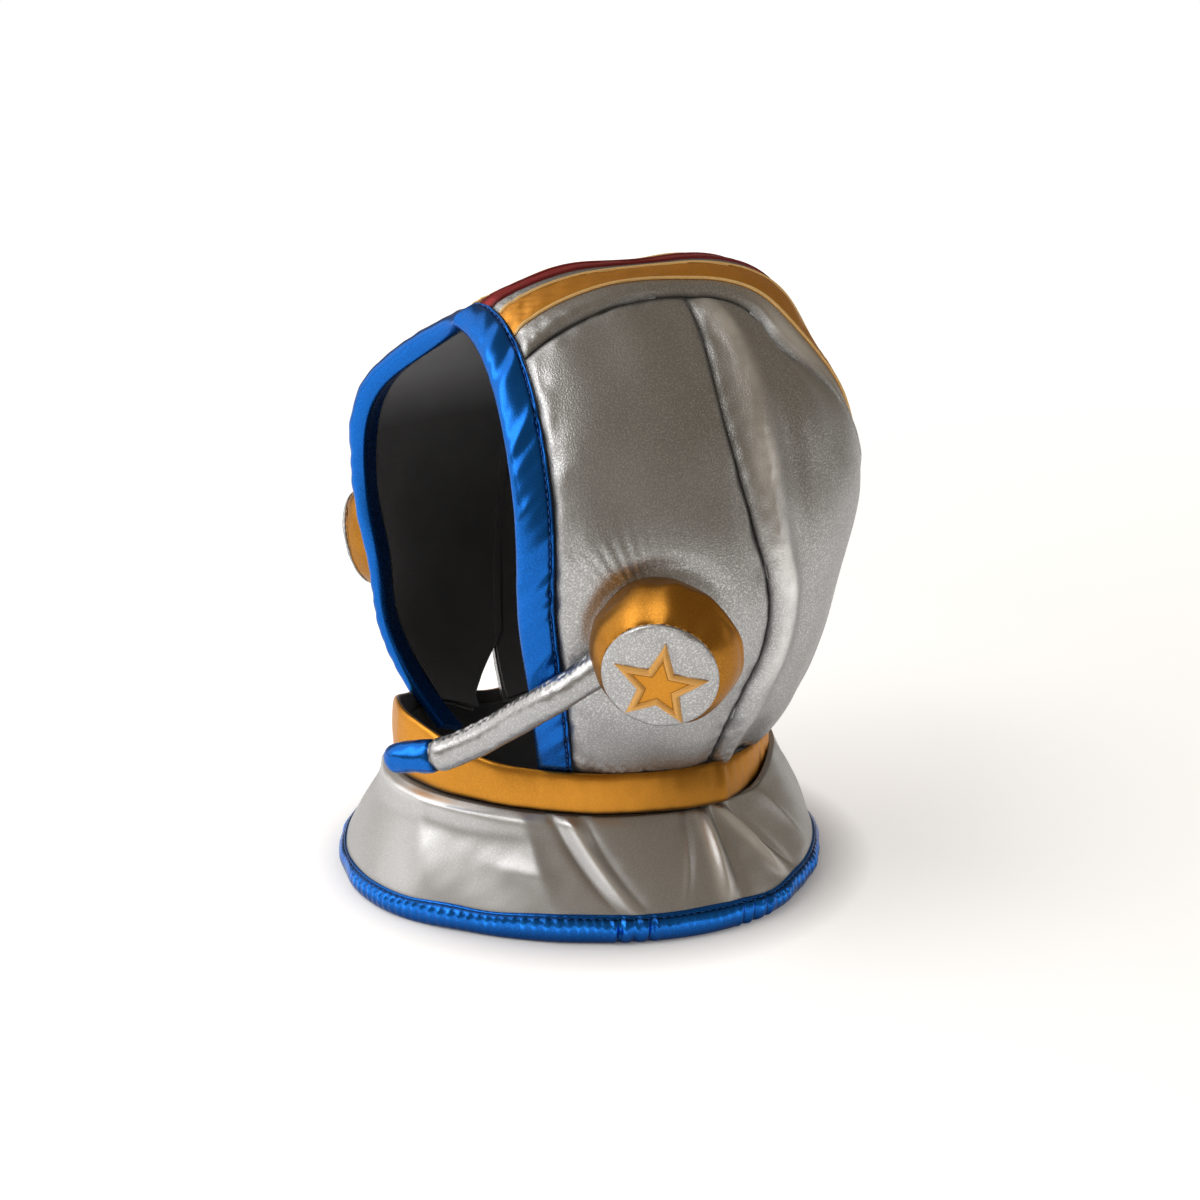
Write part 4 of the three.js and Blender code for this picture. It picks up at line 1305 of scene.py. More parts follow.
def panel_relief(points, sizes, seed, kind):
    """Rise of a padded panel: full in the middle, pulled in at its four seams, with slow waves, small
    puckers that die away from the seams and fine crinkles by its first row. The crown has a roll beside its
    side seams, and a back panel has flutes. Also gives the seam mark: dark along the seams, painted shade
    at a side panel's foot, and a painted highlight on the crown beside its side seams and on a back
    panel's crest."""
    down = run_along(points, 0)
    across = run_along(points, 1)
    gaps = np.stack([down, down[-1:] - down, across, across[:, -1:] - across])
    nearest = gaps.min(axis=0)
    beside = gaps[2:].min(axis=0)
    share = down / down[-1:]
    rise = millimetres(sizes.padding) * np.prod(1 - np.exp(-gaps / millimetres(sizes.padding_reach)), axis=0)
    rise -= millimetres(sizes.seam_depth) * hump(nearest, "panel_seam")
    slow = millimetres(sizes.slow_wave) * ripple(points, "panel_slow", seed)
    rise += slow * ramp(nearest, 0, PANEL_CALM)
    rise += ripple(points, "panel_pucker", seed) * hump(nearest, "panel_pucker")
    rise += ripple(points, "panel_crinkle", seed) * hump(down, "panel_crinkle")
    rise += sum(ear_pull(points, side) for _, side in ENDS)
    shade = hump(nearest, "panel_shade")
    painted_sheen = 0.0
    if kind == "crown":
        rise += hump(beside, "crown_roll")
        # A painted highlight along the crown beside its side seams.
        painted_sheen = hump(share, "crown_sheen_along") * hump(beside, "crown_sheen_across")
    else:
        # Painted shade at a side panel's foot, under the neck band.
        shade = np.maximum(shade, hump(down, "panel_foot_shade"))
    if kind == "back":
        ends = ramp(gaps[1], 0, FLUTE_END)
        for places, height, width in BACK_FLUTES:
            rise += height * fold_line(share, across, places, width) * ends
        crinkle = ripple(points, "crest_crinkle", seed) * ends
        rise += crinkle * fold_line(share, across, CREST_PLACES, CREST_WIDTH)
        # A painted highlight on the crest, fading towards the foot and kept off the seam.
        painted_sheen = fold_line(share, across, CREST_PLACES, CREST_SHEEN["width"])
        painted_sheen *= CREST_SHEEN["fine"] + ripple(points, "crest_sheen_fine", seed)
        painted_sheen *= CREST_SHEEN["slow"] + ripple(points, "crest_sheen_slow", seed)
        painted_sheen *= np.interp(share, *CREST_SHEEN["fade"]) * (1 - hump(nearest, "crest_seam"))
    return rise, shade - np.clip(painted_sheen, 0, 1)


def ear_pull(points, side):
    """What an ear cup does to the panel it is sewn to: a groove round its seat, and short wrinkles that
    run up from it."""
    offset = points - settle(ear_place(side, 0.0))
    _, rightward, upward = ear_axes(side)
    turn = np.arctan2(offset @ upward, side * (offset @ rightward))
    away = np.linalg.norm(offset, axis=-1) - EAR_SEAT_RADII[-1]
    fan = np.cos(turn * EAR_WRINKLES) * hump(turn, "ear_fan_turn") * hump(away, "ear_fan_reach")
    return hump(away, "ear_groove") + fan


class HOOD_OT_panels(Operator):
    """Builds the five padded silver panels"""

    bl_idname = "hood.panels"
    bl_label = "Padded panels"

    def execute(self, context):
        sizes = context.scene.hood_sizes
        for number, (stem, grid) in enumerate(panel_grids()):
            rise, seam = panel_relief(grid, sizes, SEED_STEP * number, stem.split("_")[0])
            shape = Shape().wall(raised(grid, rise), raised(grid, -PANEL_THICKNESS), mark=seam)
            piece = make_piece(f"{stem}_padding", shape, ["silver_panel"], [f"{stem}_panel"])
        return {"FINISHED"}


def lapped(grid, sag, share=1.0):
    """A lining's grid carried on past its last column, to lie behind the lining beside it: a step down in
    the seam, then a lap of which each row has a share."""
    ahead = unit(grid[:, -1:] - grid[:, -2:-1]) * share
    extra = grid[:, -1:] + ahead * np.array(LINING_LAP["reach"])[:, None]
    deeper = np.broadcast_to(sag[:, -1:] - LINING_LAP["depth"], extra.shape[:2])
    return np.concatenate([grid, extra], axis=1), np.concatenate([sag, deeper], axis=1)


class HOOD_OT_linings(Operator):
    """Builds the dark lining behind each panel and inside the neck band"""

    bl_idname = "hood.linings"
    bl_label = "Linings"

    def execute(self, context):
        for number, (stem, grid) in enumerate(panel_grids()):
            grid = grid[::LINING_STEP, ::LINING_STEP]
            sag = ripple(grid, "lining_sag", number) - PANEL_THICKNESS - LINING_GAP
            if stem == "crown":
                grid, sag = lapped(grid, sag)
                grid, sag = (part[:, ::-1] for part in lapped(grid[:, ::-1], sag[:, ::-1]))
            if stem == "front_side_left":
                grid, sag = lapped(grid, sag)
            if stem == "front_side_right":
                slit_top = grid[0, -1, 2] + PANEL_TUCK + CLOSURE_SLIT["height"]
                share = ramp(grid[:, -1:, 2:], slit_top, slit_top + LINING_LAP["clear"])
                grid, sag = lapped(grid, sag, share)
            shape = Shape().wall(raised(grid, sag), raised(grid, sag - LINING_THICKNESS))
            piece = make_piece(f"{stem}_inner_cloth", shape, ["lining_weave"], [f"{stem}_lining"])
            declare_sheet(piece)
        ring = neck_sections(circle(NECK_LINING_STEPS), np.array(NECK_LINING_SECTION))
        piece = make_piece("neck_inner_cloth", ring_shape(ring), ["lining_weave"])
        declare_sheet(piece)
        return {"FINISHED"}


class HOOD_OT_stripes(Operator):
    """Builds the red and gold stripes with their satin-stitched borders"""

    bl_idname = "hood.stripes"
    bl_label = "Stripes"

    def execute(self, context):
        sizes = context.scene.hood_sizes
        rows, columns = CROWN_GRID
        relief_of_crown, _ = panel_relief(panel_grids()[0][1], sizes, 0, "crown")
        places = np.linspace(0, 1, rows)
        kept = places < STRIPE_END
        width = STRIPE_BORDER * millimetres(sizes.satin_width)
        height = STRIPE_BORDER * millimetres(sizes.satin_height)
        for name, start, end, colour in STRIPES:
            shares = np.linspace(start, end, STRIPE_COLUMNS)
            points = crown_lines(shares, places[kept])
            column = (shares / (1 - SEAM_SHARE) + 1) / 2 * (columns - 1)
            low = np.floor(column).astype(int)
            ground = mix(relief_of_crown[:, low], relief_of_crown[:, low + 1], column - low)[kept]
            across = run_along(points, 1)
            edge = np.minimum(across, across[:, -1:] - across)
            top = ground + STRIPE_TOP + height * satin_border(edge, width)
            top += ripple(points, "stripe") * (edge > width)
            outer, inner = raised(points, top), raised(points, ground + STRIPE_BASE)
            stitched = (edge[:-1, :-1] + edge[1:, 1:]) / 2 < width
            shape = Shape().wall(outer, inner, stitched.astype(int), hump(edge - width, "stripe_groove"))
            piece = make_piece(f"{name}_cloth", shape, [f"{colour}_stripe", f"{colour}_border"], [name])
            declare_sheet(piece)
        return {"FINISHED"}


# Bindings and band


def binding_end(side):
    """The station at which the binding ends under the neck band."""
    return float(bisect(lambda at: -BINDING_TUCK[side] - above_neck(fold_point(side * at)), 0.7, 1.3))


class HOOD_OT_face_binding(Operator):
    """Builds the blue binding of the face opening, with its puckers and stitches"""

    bl_idname = "hood.face_binding"
    bl_label = "Face binding"

    def execute(self, context):
        sizes = context.scene.hood_sizes
        station = np.linspace(-binding_end(-1), binding_end(1), BINDING_STATIONS)
        back, level = section_points(BINDING_SECTION, BINDING_POINTS).T
        back = np.broadcast_to(back, (station.size, back.size))
        ground = behind_fold(np.broadcast_to(station[:, None], back.shape), back)
        run = run_along(ground, 0)[:, :1]
        slanted = stack(run + BINDING_SLANT[0] * back, BINDING_SLANT[1] * back, 0.0)
        outside = ramp(level, *BINDING_OUTSIDE)
        pucker = ripple(slanted, "binding_fine") * (BINDING_PUCKER + hump(back, "binding_pucker"))
        pucker += ripple(slanted, "binding_slow")
        rise = level + outside * millimetres(sizes.pucker) * pucker
        rise -= ramp(level, *BINDING_INSIDE) * hump(station, "binding_puff")[:, None]
        above = above_neck(ground)
        highest = BINDING_SINK["rise"] + BINDING_SINK["slope"] * np.maximum(above - BINDING_SINK["from"], 0)
        highest -= BINDING_SINK["depth"] * ramp(above, *BINDING_SINK["below"])
        points = raised(ground, np.minimum(rise, highest))
        shape = bar_shape(points, mark=hump(back, "binding_seam") * outside)
        piece = make_piece("face_binding_cloth", shape, ["blue_satin"], ["face_binding"])
        line = behind_fold(station, BINDING_STITCH)
        line = raised(line[above_neck(line) > BINDING_STITCH_CLEAR], BINDING_STITCH_RISE)
        sew("face_binding_stitches", line, hood_normal, sizes, "blue_thread")
        return {"FINISHED"}


def neck_point(azimuth):
    """Where the neck line meets the hood surface at an azimuth."""
    direction = outward(azimuth)

    def at(reach):
        p = direction * reach[..., None] + NECK_CENTRE
        p[..., 2] = neck_line(p[..., 0], p[..., 1])
        return p

    return at(bisect(lambda reach: hood_field(at(reach)), *NECK_REACH))


def away_from_neck(base):
    """Level directions straight out of the neck."""
    return unit(hood_normal(base) * (1 - UP))


def neck_sections(azimuth, section, extra=0.0):
    """Sections of (out, rise) carried round the neck line, and further out by extra: an array
    (azimuth, point, 3)."""
    base = neck_point(azimuth)
    out = np.broadcast_to(section[:, 0] + extra, (azimuth.size, len(section)))
    points = base[:, None] + away_from_neck(base)[:, None] * out[..., None]
    points[..., 2] += section[:, 1]
    return points


class HOOD_OT_neck_band(Operator):
    """Builds the gold band round the neck"""

    bl_idname = "hood.neck_band"
    bl_label = "Neck band"

    def execute(self, context):
        azimuth = circle(BAND_STEPS)[:, None]
        section = section_points(BAND_SECTION, BAND_POINTS)
        out, level = section.T
        turn = np.radians(azimuth)
        radius = BAND_CREASES["radius"]
        around = stack(radius * np.cos(turn), radius * np.sin(turn), BAND_CREASES["slant"] * level)
        crease = ripple(around, "band_slow") + ripple(around, "band_fine") + hump(azimuth, "band_fold")
        high = ramp(level, -BAND_HEIGHT, 0.0)
        extra = ramp(out, *BAND_OUTSIDE) * crease + hump(azimuth, "band_lean") * (1 - high)
        points = neck_sections(azimuth[:, 0], section, extra)
        points[..., 2] += band_lift(azimuth) * high
        # Seam mark: a dark lower edge, and painted shade round the fold and on the band's side.
        seam = hump(level, "band_foot") + hump(azimuth, "band_fold_shade") + hump(azimuth, "band_side_shade")
        shape = ring_shape(points, (out < BAND_LINED).astype(int), seam)
        piece = make_piece("neck_band_cloth", shape, ["gold_satin", "lining_weave"], ["neck_band"])
        return {"FINISHED"}


# Collar and hem


def hem_point(azimuth):
    """Points of the hem's outline on the floor."""
    return HEM_CENTRE + outward(azimuth) * hem_reach(azimuth)[..., None]


def fold_height(azimuth, down):
    """Folds of the collar: ridges that run from a top azimuth to a foot azimuth, highest half way. Also
    gives a painted highlight beside the tops of the high folds, from 0 to 1."""
    fullness = np.sin(np.pi * mix(FOLD_START, 1, down)) ** FOLD_FULLNESS
    total = 0.0
    painted_sheen = 0.0
    for top, foot, height, width in COLLAR_FOLDS:
        turn = mix(top, foot, down)
        away = np.radians(wrapped(azimuth - turn)) * hem_reach(turn)
        total = total + height * fullness * crest(away, width)
        if height > FOLD_SHEEN["from"]:
            sheen = bump(away + height - FOLD_SHEEN["offset"], FOLD_SHEEN["width"] * height * width)
            painted_sheen = painted_sheen + (height - FOLD_SHEEN["from"]) * fullness * sheen
    return total, np.clip(painted_sheen, 0, 1)


def collar_grid(azimuth, down):
    """The collar: out from under the band, then down to the hem. Its spread is 1 - (1 - down) to the roll's
    power while its height falls evenly. Also gives the direction in which its folds stand, near its slope's
    normal, their height and the painted highlight on them."""
    top = neck_point(azimuth)
    top = top + away_from_neck(top) * collar_out(azimuth)[..., None]
    top[..., 2] += collar_rise(azimuth) - BAND_HEIGHT - COLLAR_GAP
    foot = hem_point(azimuth)
    foot[..., 2] = HEM_HEIGHT + SEAM_GAP
    spread_share = 1 - (1 - down) ** COLLAR_ROLL
    p = mix(top[:, None], foot[:, None], spread_share[None, :, None])
    p[..., 2] = mix(top[:, None, 2], foot[:, None, 2], down[None])
    slope = np.arctan2(top[:, 2] - foot[:, 2], np.linalg.norm(top - foot, axis=-1))[:, None, None]
    level = (np.abs(2 * down - 1) ** COLLAR_EDGE_POWER)[None, :, None]
    flat = outward(azimuth)[:, None]
    normal = unit(mix(flat * np.sin(slope) + UP * np.cos(slope), flat, level))
    folds, painted_sheen = fold_height(azimuth[:, None], down[None])
    return p, normal, folds * (1 - level[..., 0]), painted_sheen


class HOOD_OT_collar(Operator):
    """Builds the flared silver collar with its folds"""

    bl_idname = "hood.collar"
    bl_label = "Collar"

    def execute(self, context):
        azimuth = circle(COLLAR_STEPS)
        down = np.linspace(0, 1, COLLAR_ROWS)
        points, normal, lift, painted_sheen = collar_grid(azimuth, down)
        free = np.minimum(ramp(down, 0, COLLAR_FREE), ramp(down, 1, 1 - COLLAR_FREE))
        lift += free * (ripple(points, "collar_slow") + ripple(points, "collar_fine"))
        streak = azimuth[:, None] - COLLAR_STREAK["azimuth"]
        below = down - COLLAR_STREAK["down"] - COLLAR_STREAK["slant"] * streak
        streak_height = COLLAR_STREAK["height"] * bump(streak, COLLAR_STREAK["spread"])
        lift += streak_height * crest(below, COLLAR_STREAK["width"])
        facing = bump(wrapped(azimuth - COLLAR_FACING["azimuth"]), COLLAR_FACING["spread"])[:, None]
        lift += facing * hump(down, "collar_rim")
        outer = closed(points + normal * lift[..., None])
        inner = closed(points + normal * (lift - COLLAR_THICKNESS)[..., None])
        # Dark top and foot edges, less painted highlights on the high folds and on the rim in front.
        seam = np.maximum(hump(down, "collar_top"), hump(down, "collar_foot"))
        seam = seam - painted_sheen - facing * hump(down, "collar_rim_sheen")
        shape = Shape().patch(outer, mark=closed(seam))
        shape.patch(inner[:, ::-1], cloth=1)
        for a, b in ((inner[:, 0], outer[:, 0]), (outer[:, -1], inner[:, -1])):
            shape.patch(np.stack([a, b], axis=1))
        piece = make_piece("collar_cloth", shape, ["silver_collar", "lining_weave"], ["collar"])
        declare_sheet(piece)
        return {"FINISHED"}


class HOOD_OT_hem_binding(Operator):
    """Builds the blue binding of the hem, with its puckers and stitches"""

    bl_idname = "hood.hem_binding"
    bl_label = "Hem binding"

    def execute(self, context):
        sizes = context.scene.hood_sizes
        azimuth = circle(HEM_STEPS)[:, None]
        out, level = section_points(HEM_SECTION, HEM_POINTS).T
        base = hem_point(azimuth)
        run = run_along(closed(base[:, 0]))
        count = round(run[-1] / millimetres(sizes.hem_pucker))
        height = ramp(level, 0, HEM_HEIGHT)
        shown = ramp(out, *HEM_OUTSIDE)
        slant = 2 * np.pi * count * run[:-1, None] / run[-1] + HEM_PUCKER["slant"] * height
        slant += ripple(base, "hem_slant")
        pucker = HEM_PUCKER["height"] * millimetres(sizes.pucker) * np.sin(slant)
        pucker *= HEM_PUCKER["uneven"] + ripple(base, "hem_uneven")
        pucker *= HEM_PUCKER["least"] + hump(height, "hem_pucker")
        pucker += ripple(base, "hem_swell") * np.sin(np.pi * height)
        for crease in HEM_CREASES:
            away = np.radians(azimuth - crease - HEM_CREASE_SLANT * height) * hem_reach(crease)
            pucker -= hump(away, "hem_crease") - hump(np.abs(away), "hem_crease_sides")
        points = base + outward(azimuth) * (out + pucker * shown)[..., None]
        tall = HEM_TALL + ripple(base, "hem_tall") + hump(azimuth, "hem_tall")
        points[..., 2] = np.maximum(level * tall, 0.0)
        # The seam mark: a dark stitch line, painted shade at the foot, less a painted glint on the puckers'
        # upper part.
        glint = np.clip(np.sin(slant), 0, 1) * (HEM_GLINT["uneven"] + ripple(base, "hem_glint"))
        bright = (HEM_GLINT["least"] + HEM_GLINT["share"] * glint) * hump(height, "hem_glint") * shown
        seam = hump(level, "hem_seam") * np.clip(out, 0, 1) + hump(height, "hem_foot_shade") - np.clip(bright, 0, 1)
        piece = make_piece("hem_binding_cloth", ring_shape(points, mark=seam), ["blue_hem"], ["hem_binding"])
        line = (base + outward(azimuth) * HEM_STITCH_OUT)[:, 0]
        line[:, 2] = HEM_STITCH * tall[:, 0]
        middle = HEM_CENTRE + HEM_STITCH * UP
        sew("hem_binding_stitches", closed(line), lambda p: p - middle, sizes, "blue_thread", 0.6, 0.65)
        return {"FINISHED"}


# Ear cups


def ear_axes(side):
    """The ear cup's own directions: along its axis, to its right and up."""
    level = math.cos(EAR_DROOP)
    axis = np.array([side * math.cos(EAR_TURN) * level, -math.sin(EAR_TURN) * level, -math.sin(EAR_DROOP)])
    rightward = unit(np.cross(UP, axis))
    return axis, rightward, np.cross(axis, rightward)


def ear_place(side, along, right=0.0, up=0.0):
    """A point of an ear cup's own frame."""
    ways = zip((along, right, up), ear_axes(side))
    return EAR_AXIS_POINT[side] + sum(np.asarray(step, float)[..., None] * way for step, way in ways)


def ear_ring(side, along, radius, turn):
    """A ring of points about an ear cup's axis."""
    return ear_place(side, along, radius * np.cos(turn), radius * np.sin(turn))


def star_outline(turn):
    """The star's reach at each turn: straight edges between outer and inner corners."""
    half = np.pi / STAR["points"]
    x = (turn - np.pi / 2 - STAR["turn"]) % (2 * half)
    x = np.minimum(x, 2 * half - x)
    outer, inner = STAR["outer"], STAR["inner"]
    return outer * inner * math.sin(half) / (inner * np.sin(half - x) + outer * np.sin(x))


def star_edge_gap(share):
    """Distance from the star's nearest edge, for points at a share of the outline's reach."""
    half = np.pi / STAR["points"]
    outer, inner = STAR["outer"], STAR["inner"]
    edge = math.sqrt(outer**2 + inner**2 - 2 * outer * inner * math.cos(half))
    return (1 - share) * outer * inner * math.sin(half) / edge


class HOOD_OT_ear_cups(Operator):
    """Builds the stuffed ear cups: gold gussets, silver faces with stitched rims, and gold stars"""

    bl_idname = "hood.ear_cups"
    bl_label = "Ear cups"

    def execute(self, context):
        sizes = context.scene.hood_sizes
        turn = circle(EAR_STEPS, 2 * np.pi)
        for end, side in ENDS:
            self.gusset(end, side, turn)
            self.face(end, side, turn, sizes)
            self.star(end, side, sizes)
        return {"FINISHED"}

    def gusset(self, end, side, turn):
        """From the middle of its seat on the hood, out and up its rings, and in under the face disc."""
        rows = np.linspace(0, 1, GUSSET_ROWS)
        seat = [settle(ear_ring(side, 0.0, radius, turn)) for radius in EAR_SEAT_RADII]
        rings = [ear_ring(side, along, radius, turn) for along, radius in GUSSET_RINGS]
        points = smooth_path([*raised(np.stack(seat), EAR_SEAT_RISE), *rings], rows)
        rows = rows[:, None]
        radius = GUSSET_GATHERS["radius"]
        around = stack(radius * np.cos(turn), radius * np.sin(turn), GUSSET_GATHERS["height"] * rows)
        ends = hump(rows, "gusset_gathers_in") + hump(rows, "gusset_gathers_out")
        ruffle = ripple(around, "gusset_gathers") * (GUSSET_GATHERS["least"] + ends)
        loose = ramp(rows, *GUSSET_LOOSE[0]) * ramp(rows, *GUSSET_LOOSE[1])
        lift = loose * (ruffle + ripple(points, "gusset_slow"))
        points = points + unit(points - ear_place(side, GUSSET_MIDDLE)) * lift[..., None]
        seam = np.maximum(hump(rows, "gusset_seam_in"), hump(rows, "gusset_seam_out"))
        shape = Shape().patch(points, wrap=True, mark=seam)
        piece = make_piece(f"ear_gusset_{end}_cloth", shape, ["gold_cup"], [f"ear_gusset_{end}"])

    def face(self, end, side, turn, sizes):
        """A soft disc through its rings, with a row of stitches round its rim."""
        rows = np.linspace(0, 1, FACE_ROWS)
        rings = [ear_ring(side, along, radius, turn) for along, radius in FACE_RINGS]
        points = smooth_path(rings, rows)
        rows = rows[:, None]
        lift = ramp(rows, *FACE_FRONT) * ripple(points, "face")
        points = points + ear_axes(side)[0] * lift[..., None]
        shape = Shape().patch(points, wrap=True, mark=hump(rows, "face_seam"))
        piece = make_piece(f"ear_face_{end}_cloth", shape, ["silver_panel"], [f"ear_face_{end}"])
        rim = closed(circle(FACE_STITCH["steps"], 2 * np.pi))
        line = ear_ring(side, FACE_STITCH["along"], FACE_STITCH["radius"], rim)
        middle = ear_place(side, FACE_STITCH["middle"])
        name = f"ear_face_{end}_stitches"
        sew(name, line, lambda p: p - middle, sizes, "gold_thread", girth=0.8)

    def star(self, end, side, sizes):
        """A flat star on the face's dome, with a satin-stitched border."""
        turn = circle(STAR_STEPS, 2 * np.pi)
        share = np.linspace(0, 1, STAR_ROWS)[:, None]
        reach = share * star_outline(turn)
        right = reach * np.cos(turn)
        up = reach * np.sin(turn) - STAR["drop"]
        ground = face_dome(np.hypot(right, up))
        gap = star_edge_gap(share)
        width = millimetres(sizes.satin_width)
        top = ground + STAR_TOP + millimetres(sizes.satin_height) * satin_border(gap, width)
        mark = np.maximum(hump(gap - width, "star_groove"), hump(gap, "star_edge"))
        outer = ear_place(side, top, right, up)
        inner = ear_place(side, ground + STAR_BASE, right, up)
        shape = Shape().patch(outer, wrap=True, cloth=(gap[1:] < width).astype(int), mark=mark)
        shape.patch(np.stack([outer[-1], inner[-1]]), wrap=True, cloth=1)
        shape.patch(inner[::-1], wrap=True)
        cloths = ["gold_satin", "gold_thread"]
        piece = make_piece(f"ear_star_{end}_cloth", shape, cloths, [f"ear_star_{end}"], STAR_SHARP)
        declare_sheet(piece)


# Microphone arm


MIC_LINE = smooth_path(MIC_PATH, np.linspace(0, 1, MIC_FINE_STEPS))
MIC_RUN = run_along(MIC_LINE)


def tube(places, radius, turn):
    """A tube along the arm's line, at places by length from 0 to 1: a ring of each radius about the line,
    turned from its level direction to its upright one."""
    at = places * MIC_RUN[-1]
    axis = unit(on_path(at, MIC_RUN, np.gradient(MIC_LINE, MIC_RUN, axis=0)))
    level = unit(np.cross(axis, UP))
    upright = np.cross(level, axis)
    around = level[:, None] * np.cos(turn)[:, None] + upright[:, None] * np.sin(turn)[:, None]
    return on_path(at, MIC_RUN, MIC_LINE)[:, None] + around * radius[..., None]


class HOOD_OT_microphone(Operator):
    """Builds the stuffed microphone arm and its blue tip"""

    bl_idname = "hood.microphone"
    bl_label = "Microphone arm"

    def execute(self, context):
        turn = circle(MIC_STEPS, 2 * np.pi)
        seam = bump(wrapped(turn - MIC_SEAM["turn"], np.pi), MIC_SEAM["width"])
        places = np.linspace(*MIC_REACH, MIC_ROWS)
        plain = np.full((places.size, turn.size), MIC_RADIUS)
        points = tube(places, plain, turn)
        fold = ripple(points, "mic_arm_fine") + ripple(points, "mic_arm_slow")
        fold += (ripple(points, "mic_arm_crinkle") - MIC_SEAM["depth"]) * seam
        self.stuffed("mic_arm", places, plain + fold, turn, "silver_arm")
        share = np.linspace(0, 1, MIC_TIP_ROWS) ** MIC_TIP_CROWDING
        places = mix(*MIC_TIP_REACH, share)
        round_end = np.sqrt(1 - share**MIC_TIP_ROUND)[:, None]
        plain = MIC_TIP_RADIUS * round_end * np.ones_like(turn)
        points = tube(places, plain, turn)
        fold = round_end * (ripple(points, "mic_tip_fine") + ripple(points, "mic_tip_slow"))
        self.stuffed("mic_tip", places, plain + fold, turn, "blue_satin")
        return {"FINISHED"}

    def stuffed(self, node, places, radius, turn, cloth):
        """A piece of the tube, pulled in and dark where the arm and the tip are sewn together."""
        joint = (places[:, None] - MIC_TIP_START) * MIC_RUN[-1]
        points = tube(places, radius - hump(joint, f"{node}_joint"), turn)
        piece = make_piece(f"{node}_cloth", bar_shape(points, mark=hump(joint, "mic_seam")), [cloth], [node])


# Stage


def way_to(azimuth, elevation):
    """The direction at an azimuth and an elevation."""
    rise = math.radians(elevation)
    return outward(np.array(azimuth)) * math.cos(rise) + UP * math.sin(rise)


def aimed(name, data, place, aim):
    """An object for a lamp or a camera at a place, turned to its aim. Both are in metres."""
    item = bpy.data.objects.new(name, data)
    item.location = place
    item.rotation_euler = (Vector(aim) - Vector(place)).to_track_quat("-Z", "Y").to_euler()
    bpy.context.scene.collection.objects.link(item)
    return item


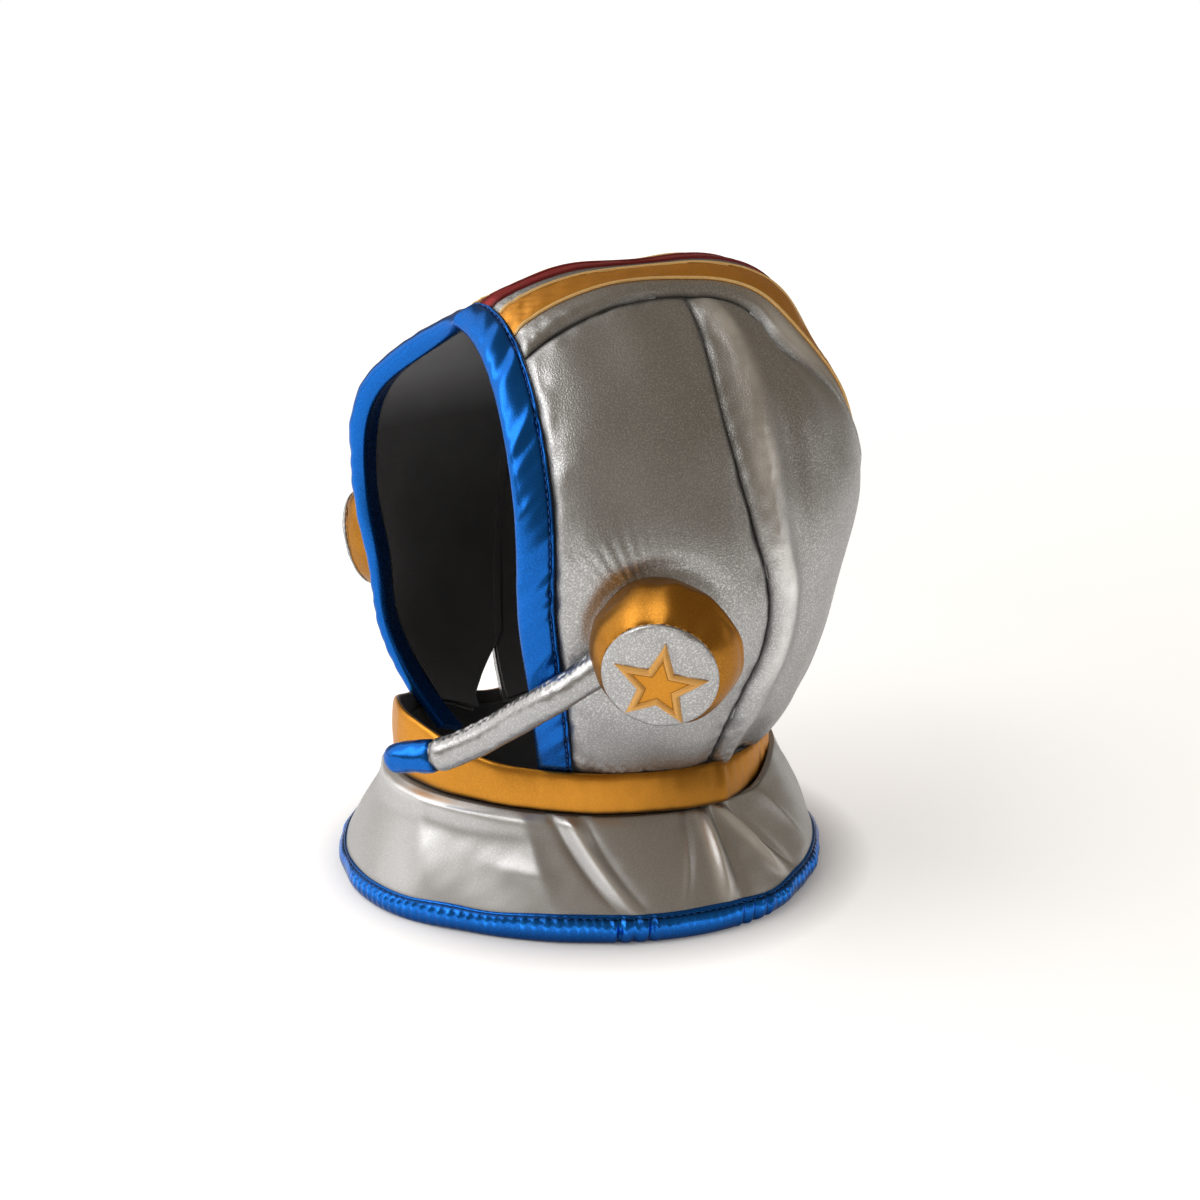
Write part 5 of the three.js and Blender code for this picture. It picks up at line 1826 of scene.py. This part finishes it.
class HOOD_OT_stage(Operator):
    """Makes the materials, the floor, the lights and the camera"""

    bl_idname = "hood.stage"
    bl_label = "Stage"

    def execute(self, context):
        scene = context.scene
        make_materials(scene.hood_colours)
        self.floor(scene)
        self.lights(packed(CAMERA_TARGET))
        self.room(scene)
        self.camera(scene, packed(CAMERA_TARGET))
        return {"FINISHED"}

    def floor(self, scene):
        """A pale floor that glows a little as painted light, with the glow taken away under and round the
        hood as a painted shadow.
        """
        tree, surface = new_material("pale_floor")
        place = object_place(tree)
        mottle = noise(tree, place, 3.0, 2.0)
        colour = scene.hood_colours.floor
        middle = packed(HEM_CENTRE)
        away = math_node(tree, "DISTANCE", place, middle, "ShaderNodeVectorMath").outputs["Value"]
        # The floor glows as painted light; near the hood the glow falls to nothing, a painted shadow.
        glows = [spread(tree, away, ends, (0.0, strength)) for ends, strength in FLOOR_GLOWS]
        set_inputs(
            tree, surface,
            Base_Color=blend_colours(tree, mottle, tint(colour), tint(colour, FLOOR_MOTTLE)),
            Roughness=0.9,
            Emission_Color=WHITE,
            Emission_Strength=math_node(tree, "ADD", *glows).outputs[0],
        )
        points = FLOOR_REACH * stack([-1, 1, 1, -1], [-1, -1, 1, 1], 0)
        mesh = bpy.data.meshes.new("floor")
        mesh.from_pydata(points.tolist(), [], [(0, 1, 2, 3)])
        mesh.materials.append(bpy.data.materials["pale_floor"])
        floor = bpy.data.objects.new("floor", mesh)
        scene.collection.objects.link(floor)

    def lights(self, aim):
        """Square soft lights round the hood."""
        for name, azimuth, elevation, distance, size, power in LIGHTS:
            lamp = bpy.data.lights.new(name, "AREA")
            lamp.shape = "SQUARE"
            lamp.size = size
            lamp.energy = power
            aimed(name, lamp, aim + way_to(azimuth, elevation) * distance, aim)

    def room(self, scene):
        """A dim warm room that the camera sees as white."""
        world = bpy.data.worlds.new("studio")
        world.use_nodes = True
        tree = world.node_tree
        room = set_inputs(tree, tree.nodes["Background"], Color=ROOM_COLOUR)
        pale = add_node(tree, "ShaderNodeBackground", Color=WHITE)
        seen = tree.nodes.new("ShaderNodeLightPath").outputs["Is Camera Ray"]
        both = tree.nodes.new("ShaderNodeMixShader")
        for socket, value in zip(both.inputs, (seen, room.outputs[0], pale.outputs[0])):
            feed(tree, socket, value)
        set_inputs(tree, tree.nodes["World Output"], Surface=both.outputs[0])
        scene.world = world

    def camera(self, scene, aim):
        """The camera, where the photograph was taken from."""
        lens = bpy.data.cameras.new("camera")
        lens.lens = CAMERA_LENS
        lens.shift_x, lens.shift_y = CAMERA_SHIFT
        lens.clip_start = 0.01
        scene.camera = aimed("camera", lens, aim + way_to(*CAMERA_WAY) * CAMERA_DISTANCE, aim)
        scene.view_settings.view_transform = "Standard"


class HOOD_PT_panel(Panel):
    """Lists the steps that build the hood"""

    bl_label = "Astronaut hood"
    bl_space_type = "VIEW_3D"
    bl_region_type = "UI"
    bl_category = "Hood"

    def draw(self, context):
        for step in STEPS:
            self.layout.operator(step.bl_idname)
        for group in (context.scene.hood_sizes, context.scene.hood_colours):
            for name in group.__annotations__:
                self.layout.prop(group, name)


STEPS = (
    HOOD_OT_stage, HOOD_OT_panels, HOOD_OT_linings, HOOD_OT_stripes, HOOD_OT_face_binding,
    HOOD_OT_neck_band, HOOD_OT_collar, HOOD_OT_hem_binding, HOOD_OT_ear_cups, HOOD_OT_microphone,
)
CLASSES = (HoodSizes, HoodColours, *STEPS, HOOD_PT_panel)


def register():
    """Adds the classes, and their properties on the scene."""
    for item in CLASSES:
        bpy.utils.register_class(item)
    bpy.types.Scene.hood_sizes = PointerProperty(type=HoodSizes)
    bpy.types.Scene.hood_colours = PointerProperty(type=HoodColours)


def unregister():
    """Takes away what register added."""
    del bpy.types.Scene.hood_colours
    del bpy.types.Scene.hood_sizes
    for item in reversed(CLASSES):
        bpy.utils.unregister_class(item)


def main():
    """Runs every step in turn."""
    register()
    for step in STEPS:
        family, name = step.bl_idname.split(".")
        getattr(getattr(bpy.ops, family), name)()


if __name__ == "__main__":
    main()
